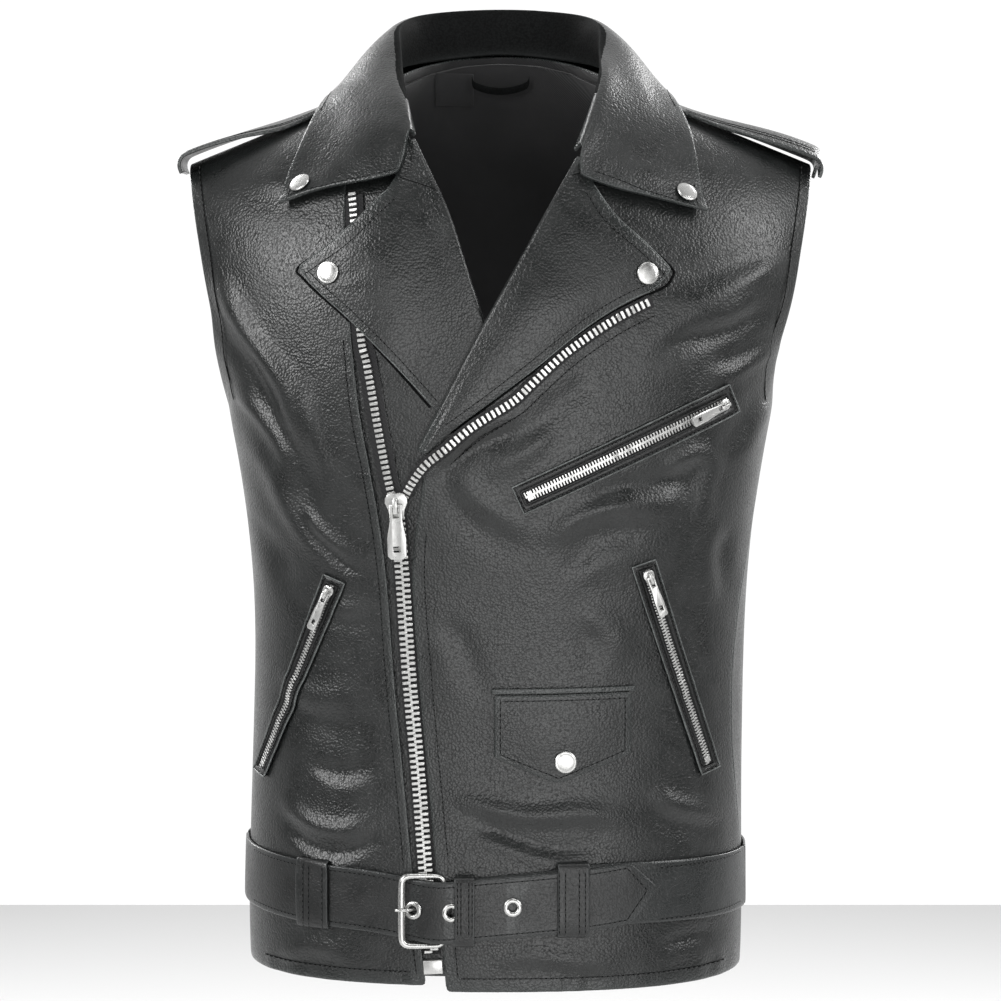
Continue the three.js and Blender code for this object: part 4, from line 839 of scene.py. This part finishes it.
closed_tape = strip("closed_tape", band_on("front", CLOSED, [12.6, 12.6], -2.1, 90), TAPE, 0.7, 0)
finish_piece(closed_tape, [])
right_tape = strip("right_tape", band_on("front", RIGHT_CHAIN, [13, 13], -2.1, 70), TAPE, 0.7, 0)
finish_piece(right_tape, [])

raised = smooth(LEFT_CHAIN, 60)
raised[:, 2] += left_chain_lift(raised[:, 0], raised[:, 1])
left_tape = strip("left_tape", band_on("front", raised[:, :2], [8.6, 8.6], raised[:, 2] + 0.1, 90), TAPE, 0.6, 0)
finish_piece(left_tape, [])

TOOTH = 1.9
pitch = 3.7
teeth = frames_on("front", CLOSED, pitch, -1.3, offset=2.0)
teeth += frames_on("front", CLOSED, pitch, -1.3, offset=-2.0, shift=1)
closed_teeth = copies("closed_teeth", block(5.6, 2.1, TOOTH, 0.35), teeth, ZIP_METAL)
made["closed_teeth"] = finish_piece(closed_teeth, ["main_zip_closed"])
teeth = frames_on("front", RIGHT_CHAIN, 3.5, -1.3)
right_teeth = copies("right_teeth", block(5.4, 2.2, TOOTH, 0.35), teeth, ZIP_METAL)
finish_piece(right_teeth, ["main_zip_right"])
left_teeth = copies("left_teeth", block(5.4, 2.2, TOOTH, 0.35), frames_on("front", raised, 3.5, 0.6), ZIP_METAL)
finish_piece(left_teeth, ["main_zip_left"])

# %% [markdown]
# ### Pocket zips
# The same chain at a smaller size, seen between the lips, with a metal stop at the end away from the
# slider. Its teeth are only as wide as the slot, so none cuts into the leather.

# %% The pocket zips
for name, left, start, end, width, slot in POCKETS:
    a, b = np.array(start, float), np.array(end, float)
    way = (b - a) / np.linalg.norm(b - a)
    path = [a + way * 4.6, (a + b) / 2, b - way * 4.6]
    tape_grid = band_on("front", path, [slot[0] + 1.2, slot[1] + 1.2], 0.35, 50, left)
    tape = strip(name + "_tape", tape_grid, TAPE, 0.6, 0)
    finish_piece(tape, [])
    size = 0.62 * min(slot)
    rows = frames_on("front", path, 2.1, 1.0, left, offset=size * 0.22)
    rows += frames_on("front", path, 2.1, 1.0, left, offset=-size * 0.22, shift=1)
    chain = copies(name + "_teeth", block(size * 0.75, 1.15, 1.3, 0.2), rows, ZIP_METAL)
    finish_piece(chain, [name + "_zip"])
    stop = frames_on("front", [b - way * 8.5, b - way * 6.5, b - way * 4.5], 4, 1.0, left)
    finish_piece(copies(name + "_stop", block(size * 1.1, 3.6, 1.6, 0.3), stop[:1], ZIP_METAL), [])

# %% [markdown]
# ## Snaps, eyelets, buckle, sliders and pulls
# Snaps and eyelets are pressed round, so a profile is spun. The buckle is bent wire: its solid is rounded
# by subdivision. Sliders and pulls are cast, so the sharp edges of their solids get a bevel that catches
# the light, and their shapes stay those that the joints move.

# %% Turned caps and rings
def turned(name, profile, matrix, steps=40):
    bm = bmesh.new()
    line = [bm.verts.new(Vector((r, 0, h)) * MM) for r, h in profile]
    edges = [bm.edges.new(pair) for pair in zip(line, line[1:])]
    bmesh.ops.spin(bm, geom=line + edges, cent=(0, 0, 0), axis=(0, 0, 1), angle=2 * math.pi, steps=steps,
                   use_merge=True)
    bmesh.ops.remove_doubles(bm, verts=bm.verts, dist=1e-6)
    bmesh.ops.recalc_face_normals(bm, faces=bm.faces)
    bmesh.ops.transform(bm, matrix=matrix, verts=bm.verts)
    return shade(new_object(name, bm, NICKEL), 45)


def disc_frame(node):
    """Centre and outward direction of a flat round CAD node."""
    p = points_of(nodes[node])
    middle = p.mean(axis=0)
    normal = np.linalg.svd(p - middle, full_matrices=False)[2][2]
    if (normal * outward(middle[None])[0]).sum() < 0:
        normal = -normal
    low = ((p - middle) @ normal).min()
    return middle + normal * low, normal


SNAP = [(0, 0), (6.9, 0), (7.3, 0.35), (7.35, 0.8), (7.0, 1.25), (6.5, 1.4), (6.1, 1.36), (5.7, 1.5),
        (4.2, 1.72), (2.2, 1.84), (0, 1.88)]
for node in ("flap_snap", "lapel_right_snap", "lapel_left_snap", "collar_right_snap", "collar_left_snap"):
    at, out = disc_frame(node)
    flat = Vector(out).orthogonal()
    cap = turned(node + "_cap", SNAP, standing(at, flat, out))
    finish_piece(cap, [node])

RING = [(2.9, -1.6), (3.1, 1.2), (3.5, 1.75), (4.4, 2.0), (5.4, 1.8), (6.1, 1.3), (6.2, 1.0), (3.6, 0.9),
        (3.5, -1.6), (2.9, -1.6)]
for node in ("eyelet_1", "eyelet_2", "eyelet_3"):
    at, out = disc_frame(node)
    ring = turned(node + "_ring", RING, standing(at + out * 1.2, Vector(out).orthogonal(), out))
    finish_piece(ring, [node])

# %% [markdown]
# ### Buckle, sliders and pulls
# Nothing here is drawn anew: a new mesh could miss the hinge it turns on. The solids are right, so their
# copies are only rounded or bevelled, and each pull rides on the body of its own hinge.

# %% Buckle, sliders and pulls
def rounded(name, node, level):
    obj = shell(name, node, NICKEL, level, firm=0.0, creased=False)
    return finish_piece(obj, [node])


rounded("buckle_ring", "buckle_frame", 2)
rounded("buckle_pin", "buckle_tongue", 2)


def bevelled(name, node, body):
    bm = merged(node)
    bmesh.ops.dissolve_limit(bm, angle_limit=math.radians(2), verts=bm.verts, edges=bm.edges)
    sharp = [e for e in bm.edges if len(e.link_faces) == 2 and e.calc_face_angle(0) > math.radians(35)]
    bmesh.ops.bevel(bm, geom=sharp, offset=0.22 * MM, segments=2, affect="EDGES", profile=0.5, material=-1,
                    clamp_overlap=True)
    obj = shade(new_object(name, bm, ZIP_METAL), 35)
    return finish_piece(obj, [node], body)


for part in ("main_zip", "hand_right", "hand_left", "chest"):
    bevelled(part + "_slider_metal", part + "_slider", "vest")
    bevelled(part + "_tab_metal", part + "_pull", part + "_pull_tab")
bevelled("zip_box_metal", "main_zip_box", "vest")

# %% [markdown]
# ## Stitches
# Rows of thread run beside the edges and pull a fine groove into the leather. They could be painted by a
# material, but real threads stand up and show from the side. So each stitch is a small tapered block on
# a frame, laid on the cloth, or on a piece where a ray or the nearest point finds it.

# %% One stitch, and ways to lay a row
def thread_part(length=2.5, width=0.62, height=0.42):
    bm = bmesh.new()
    bmesh.ops.create_cube(bm, size=1)
    for v in bm.verts:
        narrow = 0.55 if v.co.z > 0 else 1.0
        v.co = Vector((v.co.x * width * narrow, v.co.y * length * (0.8 if v.co.z > 0 else 1.0), v.co.z * height)) * MM
    return bm


def rows_on_cloth(face, path, left=False, lift=0.12, pitch=3.4):
    return frames_on(face, path, pitch, lift, left)


def trees(*names):
    """Search trees of finished pieces, to find places on them."""
    meshes = [made[name].data for name in names]
    return [BVHTree.FromPolygons([v.co for v in m.vertices], [p.vertices for p in m.polygons]) for m in meshes]


def rows_on_piece(tree, points, pitch=3.4, lift=0.12):
    """Stitches along a line of 3-D points, each moved to the nearest place on a piece."""
    length = np.linalg.norm(np.diff(smooth(points, 60), axis=0), axis=1).sum()
    line = smooth(points, max(int(length / pitch), 2))
    at, out = [], []
    for p in line:
        spot, normal, _, _ = tree.find_nearest(Vector(p) * MM)
        at.append(np.array(spot) / MM + np.array(normal) * lift)
        out.append(np.array(normal))
    return [standing(at[i], at[min(i + 1, len(at) - 1)] - at[max(i - 1, 0)], out[i]) for i in range(len(at))]


def seen(tree, points, way=(0, 1, 0)):
    """Where rays through points, along a direction, first meet a piece."""
    way = Vector(way)
    found = []
    for p in points:
        spot = tree.ray_cast(Vector(p) * MM - way * 0.4, way)[0]
        if spot is not None:
            found.append(np.array(spot) / MM)
    return found


def from_front(tree, path, offset=0.0, count=60):
    line = beside_path(smooth(path, count), offset)
    return seen(tree, [(x, 0, z) for x, z in line])

# %% Rows on the fronts, armholes and hem
frames, groove_shade_lines = [], []


def sew(rows):
    """Adds a row of stitches, and a line just under it for a near-black cord that paints the shade of the groove they
    pull into the leather.
    """
    frames.extend(rows)
    groove_shade_lines.append([(row.translation - row.col[2].to_3d() * 0.0002) / MM for row in rows])


edge = lambda table, low, high, offset: [(read(table, z) + offset, z) for z in np.linspace(high, low, 14)]
sew(rows_on_cloth("front", edge(LEFT_EDGE, -520, -302, 8.5), True))
sew(rows_on_cloth("front", edge(LEFT_EDGE, -600, -576, 8.5), True))
sew(rows_on_cloth("front", [(x + 5.6, z - 8.2) for x, z, _ in LEFT_CHAIN[3:]], True))
sew(rows_on_cloth("front", edge(PLACKET_EDGE, -524, -176, -5.5)))
sew(rows_on_cloth("front", edge(PLACKET_EDGE, -598, -574, -5.5)))
for face in ("front", "back"):
    for side in (-1, 1):
        share = np.linspace(0.05, 0.985, 26)
        x = side * (armhole_x(face, share, side) - 7)
        z = ARMPIT + (ridge(x) - ARMPIT) * share
        sew(rows_on_cloth(face, list(zip(x, z)), side > 0 and face == "front"))
sew(rows_on_cloth("front", [(-160, -594), (-110, -594), (-58, -594)]))
sew(rows_on_cloth("front", [(-26, -598), (60, -598), (155, -597)], True))
sew(rows_on_cloth("back", [(-158, -594), (0, -594), (150, -594)]))
for name, left, start, end, width, slot in POCKETS:
    a, b = np.array(start, float), np.array(end, float)
    way = (b - a) / np.linalg.norm(b - a)
    across = np.array([-way[1], way[0]])
    for side in (-1, 1):
        inset = [across * side * (w / 2 - 1.5) for w in width]
        ends = [a + way * 2 + inset[0], b - way * 2 + inset[1]]
        sew(frames_on("front", ends, 3.0, 2.9, left))
    for end_at, w in ((a + way * 1.6, width[0]), (b - way * 1.6, width[1])):
        sew(frames_on("front", [end_at + across * (w / 2 - 2), end_at - across * (w / 2 - 2)], 3.0, 2.9, left))

# %% [markdown]
# ### Rows on pieces that stand off the body
# Lapels, collar, flap and belt lie above the body's form. So a line as it is seen from the front is cast
# onto the piece's own mesh, and the stitches stand on what it hits.

# %% Rows on lapels, collar and flap
RIGHT_OUTER = [(-72, -79), (-84, -90), (-104, -109), (-131, -128), (-130, -133), (-121, -142), (-98, -162),
               (-71, -189), (-45, -218)]
LEFT_OUTER = [(60, -76), (73, -95), (94, -113), (111, -129), (112, -133), (106, -140), (81, -151), (55, -167),
              (22, -193), (-7, -215), (-33, -234)]
right_lapel, left_lapel, collar_tree, flap_tree, belt_tree, strip_tree, back_belt_tree = trees(
    "right_lapel", "left_lapel", "collar_piece", "flap_piece", "belt_long_part", "belt_left_part", "belt_back_part")
for tree, line, side in ((right_lapel, RIGHT_OUTER, 1), (left_lapel, LEFT_OUTER, -1)):
    for part in (line[:4], line[4:]):
        sew(rows_on_piece(tree, from_front(tree, part, side * 5.0, 40)))
COLLAR = [
    ((-108, -96, -74), (-147, -86, -86)),
    ((-108, -85, -58), (-138, -68, -69)),
    ((-107, -56, -31), (-127, -48, -44)),
    ((-104, -14, -5), (-119, -18, -16)),
    ((-100, 24, 8), (-113, 16, -13)),
    ((-78, 72, 12), (-90, 56, -11)),
    ((0, 104, 20), (0, 100, -5)),
    ((78, 72, 12), (89, 56, -11)),
    ((99, 24, 8), (111, 16, -12)),
    ((102, -14, -5), (117, -18, -15)),
    ((104, -60, -37), (124, -50, -48)),
    ((102, -88, -64), (130, -74, -74)),
    ((96, -101, -80.5), (137, -92, -91)),
]
hem = [np.array(far, float) + (np.array(edge_at, float) - np.array(far, float)) * 0.84 for far, edge_at in COLLAR]
up_off = [outward(p[None])[0] * 4 for p in hem]
sew(rows_on_piece(collar_tree, [p + o for p, o in zip(hem, up_off)]))
RIGHT_END = [(-68, -106, -66), (-88, -103, -71), (-108, -99, -74), (-140, -88, -83)]
LEFT_END = [(64, -108, -67), (82, -106, -74), (98, -104, -80), (130, -95, -89)]
sew(rows_on_piece(collar_tree, [np.array(p) + (0, -2, 5) for p in RIGHT_END]))
sew(rows_on_piece(collar_tree, [np.array(p) + (0, -2, 5) for p in LEFT_END]))
FLAP = [(0, -412), (0, -448.5), (38.5, -464.5), (82.5, -447), (82.5, -412)]
for a, b in zip(FLAP, FLAP[1:]):
    sew(rows_on_piece(flap_tree, from_front(flap_tree, [a, ((a[0] + b[0]) / 2, (a[1] + b[1]) / 2), b], 0, 20)))
sew(rows_on_piece(flap_tree, from_front(flap_tree, [(2, -413), (42, -412.5), (84, -412)], 0, 20)))
# %% Rows on the belt, straps and side seams
BELT_LINE = [[-176, -541], [-134, -544.5], [-90, -547], [-74, -548.8], [-62, -551], [-57, -552], [-50, -552.8],
             [-42, -553.4], [-36, -553.2], [-28, -552.6], [-15, -551.4], [20, -548.5], [58, -545.5], [103, -539.5]]
BELT_HALF = 20.4
for c in (-0.84, 0.84):
    line = [(x, read(BELT_LINE, x, 1) + c * BELT_HALF) for x in np.linspace(-168, 84, 40)]
    sew(rows_on_piece(belt_tree, from_front(belt_tree, line, 0, 90)))
    tip = [(84, read(BELT_LINE, 84.0, 1) + c * BELT_HALF), (97.5, -540.5)]
    sew(rows_on_piece(belt_tree, from_front(belt_tree, tip, 0, 8)))
# More rows on the belt, its loops, the shoulder straps and beside the side seams
loops = {"right_belt_loop": (-123.5, 20.5), "middle_belt_loop": (-23.5, 13.0), "left_belt_loop": (47.5, 20.5)}
for name, (x, width) in loops.items():
    (tree,) = trees(name)
    for c in (-0.5, -0.27, 0.27, 0.5):
        at_x = x + c * (width - 3.4)
        sew(rows_on_piece(tree, seen(tree, [(at_x, 0, z) for z in np.linspace(-567, -526, 16)])))
for c in (-0.84, 0.84):
    line = [(x, 0, -544 - 4 * ease(110, 40, x) + c * BELT_HALF) for x in np.linspace(106, 164, 20)]
    sew(rows_on_piece(strip_tree, seen(strip_tree, line)))
    line = [(x, 0, -543.5 + c * BELT_HALF) for x in np.linspace(-160, 160, 60)]
    sew(rows_on_piece(back_belt_tree, seen(back_belt_tree, line, (0, -1, 0))))
for name, side in (("right_strap", -1), ("left_strap", 1)):
    (tree,) = trees(name)
    for y in (-27.5, -24, 8, 11.5):
        sew(rows_on_piece(tree, seen(tree, [(side * x, y, 0) for x in np.linspace(126, 211, 30)], (0, 0, -1))))
(back_tree,) = trees("back_panel")
for side in (-1, 1):
    line = [(0, 7.0, z) for z in np.linspace(-246, -594, 60)]
    sew(rows_on_piece(back_tree, seen(back_tree, line, (-side, 0, 0))))
stitches = copies("stitches", thread_part(), frames, THREAD)
finish_piece(stitches, [])

# %% [markdown]
# ## Edges, seams and the label
# The leather is turned over at the lapels and round the pockets, so its rim shines and the side under it
# is dark. A bevel is too small to show that, so thin cords follow those lines: pale ones are a painted
# highlight on the rims, and near-black ones a painted shadow beside the lapels. Near-black cords also
# paint the shade of the stitch grooves, and follow the seam across each lapel's top. Inside the neck
# are a plain label and a hanging loop.

# %% Cords and rims
def cord_lines(name, lines, radius, material, closed=False):
    """Thin round cords through lines of points, made from one curve."""
    data = bpy.data.curves.new(name, "CURVE")
    data.dimensions = "3D"
    data.bevel_depth = radius * MM
    data.bevel_resolution = 2
    for points in lines:
        spline = data.splines.new("POLY")
        spline.points.add(len(points) - 1)
        for point, at in zip(spline.points, points):
            point.co = (*(np.array(at) * MM), 1)
        spline.use_cyclic_u = closed
    obj = bpy.data.objects.new(name, data)
    bpy.context.scene.collection.objects.link(obj)
    mesh = bpy.data.meshes.new_from_object(obj.evaluated_get(bpy.context.evaluated_depsgraph_get()))
    bpy.data.objects.remove(obj)
    obj = bpy.data.objects.new(name, mesh)
    obj.data.materials.append(material)
    bpy.context.scene.collection.objects.link(obj)
    print(name, len(lines), "cords")
    return finish_piece(shade(obj, 60), [])


def rim_of(tree, line, lift):
    """The edge of a piece along a line that is seen from the front."""
    line = smooth(line, 90)
    found = []
    for p in place("front", line[:, 0], line[:, 1], 6.0)[0]:
        spot, normal, _, _ = tree.find_nearest(Vector(p) * MM)
        found.append((np.array(spot) / MM + np.array(normal) * lift))
    return found

# %% Painted groove shade, edge highlights and lapel shadows
# Near-black cords on the stitch rows: painted shade in the grooves
cord_lines("stitch_groove_shade", [g for g in groove_shade_lines if len(g) > 2], 0.38, DULL_AND_SHADE_LEATHER)
rim_highlights, shadows = [], []
for tree, panels, line, side in ((right_lapel, trees("right_front", "right_facing"), RIGHT_OUTER, 1),
                                 (left_lapel, trees("left_front"), LEFT_OUTER, -1)):
    for part in (line[:5], line[4:]):
        rim_highlights.append(rim_of(tree, part, 0.1))
        shadows += [from_front(panel, part, side * -1.3, 90) for panel in panels]
# Pale cords on the lapels' rims: a painted highlight
cord_lines("lapel_edge_highlights", rim_highlights, 0.42, EDGE_HIGHLIGHT_LEATHER)
# Near-black cords on the panels just outside the lapel edges: a painted shadow
cord_lines("lapel_edge_shadows", [s for s in shadows if len(s) > 2], 0.9, DULL_AND_SHADE_LEATHER)

for name, left, start, end, width, slot in POCKETS:
    grid = welt_grid(start, end, width, slot, left)
    rim_line = grid[:-1, 0]
    out = outward(rim_line)
    # Pale cord round the welt's rim: a painted highlight
    cord_lines(name + "_highlight_rim", [rim_line + out * 0.7], 0.62, EDGE_HIGHLIGHT_LEATHER, closed=True)
    inner_line = grid[:-1, -1]
    cord_lines(name + "_inner_edge", [inner_line + out * 1.3], 0.4, BELT, closed=True)

for name, tree, line in (("right_seam", right_lapel, [(-66, -69), (-54, -73), (-42, -77)]),
                         ("left_seam", left_lapel, [(54, -66), (50, -67), (47, -68)])):
    found = from_front(tree, line, 0, 24)
    if len(found) > 3:
        cord_lines(name, [found], 0.3, DULL_AND_SHADE_LEATHER)

# %% [markdown]
# ### Label and hanging loop
# Both are sewn to the lining at the back of the neck, so rays from the front find where they lie. The
# label is plain twill with nothing written on it, and the loop bows out a little from the lining.

# %% Label and hanging loop
(lining_tree,) = trees("back_lining_sheet")


def on_lining(x, z, lift):
    spot, normal, _, _ = lining_tree.ray_cast(Vector((x, -20, z)) * MM, Vector((0, 1, 0)))
    normal = normal if normal.y < 0 else -normal
    return (np.array(spot) + np.array(normal) * lift * MM) / MM


label = np.array([[on_lining(x, z, 0.5) for z in np.linspace(-17, 5, 6)] for x in np.linspace(-46, -19, 9)])
finish_piece(strip("neck_label", label, LINING, 0.5, 0.2), [])
loop_line = [(-21, 2), (-19, -2), (-10, -5), (0, -6), (10, -5), (19, -2), (21, 2)]
loop_grid = np.array([[on_lining(x, z + w, 1.2 + 2.5 * bell(x, 0, 22)) for w in (-2.5, 0, 2.5)]
                      for x, z in smooth(loop_line, 24)])
finish_piece(strip("hanging_loop", loop_grid, DULL_AND_SHADE_LEATHER, 0.8, 0.25), [])

# %% [markdown]
# ## Floor, light and camera
# The vest was photographed in soft light on white. A plain pale floor, a sky that is white behind it with
# one soft bright spot in front, and five large panels give the same, and need no picture for a sky. The
# spot lies a little low and to the side, so the grain and folds of the middle have a light and a dark
# side. The camera has the photograph's angle.

# %% Floor
FLOOR_HALF = 2.5
FLOOR_HEIGHT = -1.1
bm = bmesh.new()
bmesh.ops.create_grid(bm, x_segments=1, y_segments=1, size=FLOOR_HALF)
bmesh.ops.translate(bm, vec=(0, 0, FLOOR_HEIGHT), verts=bm.verts)
floor_shader = Shader("pale_floor", (0.78, 0.78, 0.78), 0.7)
floor_shader.give("Roughness", floor_shader.noise(3).between(0.3, 0.7, 0.65, 0.8))
floor = new_object("floor", bm, floor_shader.material)

# %% Sky
world = bpy.data.worlds.new("studio")
bpy.context.scene.world = world
world.use_nodes = True
sky = world.node_tree
way = sky.nodes.new("ShaderNodeTexCoord")
# Each part of the sky: which way it lies, and how bright it is by the cosine of the angle from there
parts = []
for facing, values in (((0, 1, 0), (-0.35, 0.55, 0.1, 1.05)), ((0.17, -0.975, -0.14), (0.85, 1.0, 0.0, 4.2))):
    toward = sky.nodes.new("ShaderNodeVectorMath")
    toward.operation = "DOT_PRODUCT"
    toward.inputs[1].default_value = facing
    sky.links.new(way.outputs["Generated"], toward.inputs[0])
    ramp = sky.nodes.new("ShaderNodeMapRange")
    for key, value in zip(("From Min", "From Max", "To Min", "To Max"), values):
        ramp.inputs[key].default_value = value
    sky.links.new(toward.outputs["Value"], ramp.inputs["Value"])
    parts.append(ramp)
both = sky.nodes.new("ShaderNodeMath")
for ramp, socket in zip(parts, both.inputs):
    sky.links.new(ramp.outputs[0], socket)
sky.links.new(both.outputs[0], sky.nodes["Background"].inputs["Strength"])
sky.nodes["Background"].inputs["Color"].default_value = (1, 1, 1, 1)

# %% Lights and camera
def panel_light(name, at, aim, size, power):
    data = bpy.data.lights.new(name, "AREA")
    data.shape = "RECTANGLE"
    data.size, data.size_y = size
    data.energy = power
    light = bpy.data.objects.new(name, data)
    light.location = at
    light.rotation_euler = (Vector(aim) - Vector(at)).to_track_quat("-Z", "Y").to_euler()
    bpy.context.scene.collection.objects.link(light)
    print(name, power, "W")


panel_light("key", (-1.45, -1.3, 0.55), (0, 0, -0.25), (0.6, 1.3), 32)
panel_light("fill", (1.6, -0.75, 0.55), (0, 0, -0.25), (0.5, 1.3), 22)
panel_light("top", (0.2, -0.7, 1.5), (0, 0, -0.15), (0.8, 0.4), 8)
panel_light("back_left", (-1.3, 1.4, 0.6), (0, 0, -0.3), (0.6, 1.3), 30)
panel_light("back_right", (1.3, 1.4, 0.6), (0, 0, -0.3), (0.6, 1.3), 32)

camera = bpy.data.objects.new("camera", bpy.data.cameras.new("camera"))
camera.data.lens = 120
camera.data.sensor_width = 36
tilt = math.radians(5)
camera.location = Vector((0, 0, -0.29)) + 2.3 * Vector((0, -math.cos(tilt), math.sin(tilt)))
camera.rotation_euler = (math.pi / 2 - tilt, 0, 0)
bpy.context.scene.collection.objects.link(camera)
bpy.context.scene.camera = camera
bpy.context.scene.view_settings.view_transform = "Standard"

# %% [markdown]
# ## Finish
# Nearly every solid is replaced by a piece. What is left of them gets the same finishes, so no plain
# colour shows.

# %% Plain finish for what is left
for node, obj in nodes.items():
    for slot in obj.material_slots:
        slot.material = NICKEL if slot.material.name.startswith(("bright", "zip")) else LEATHER
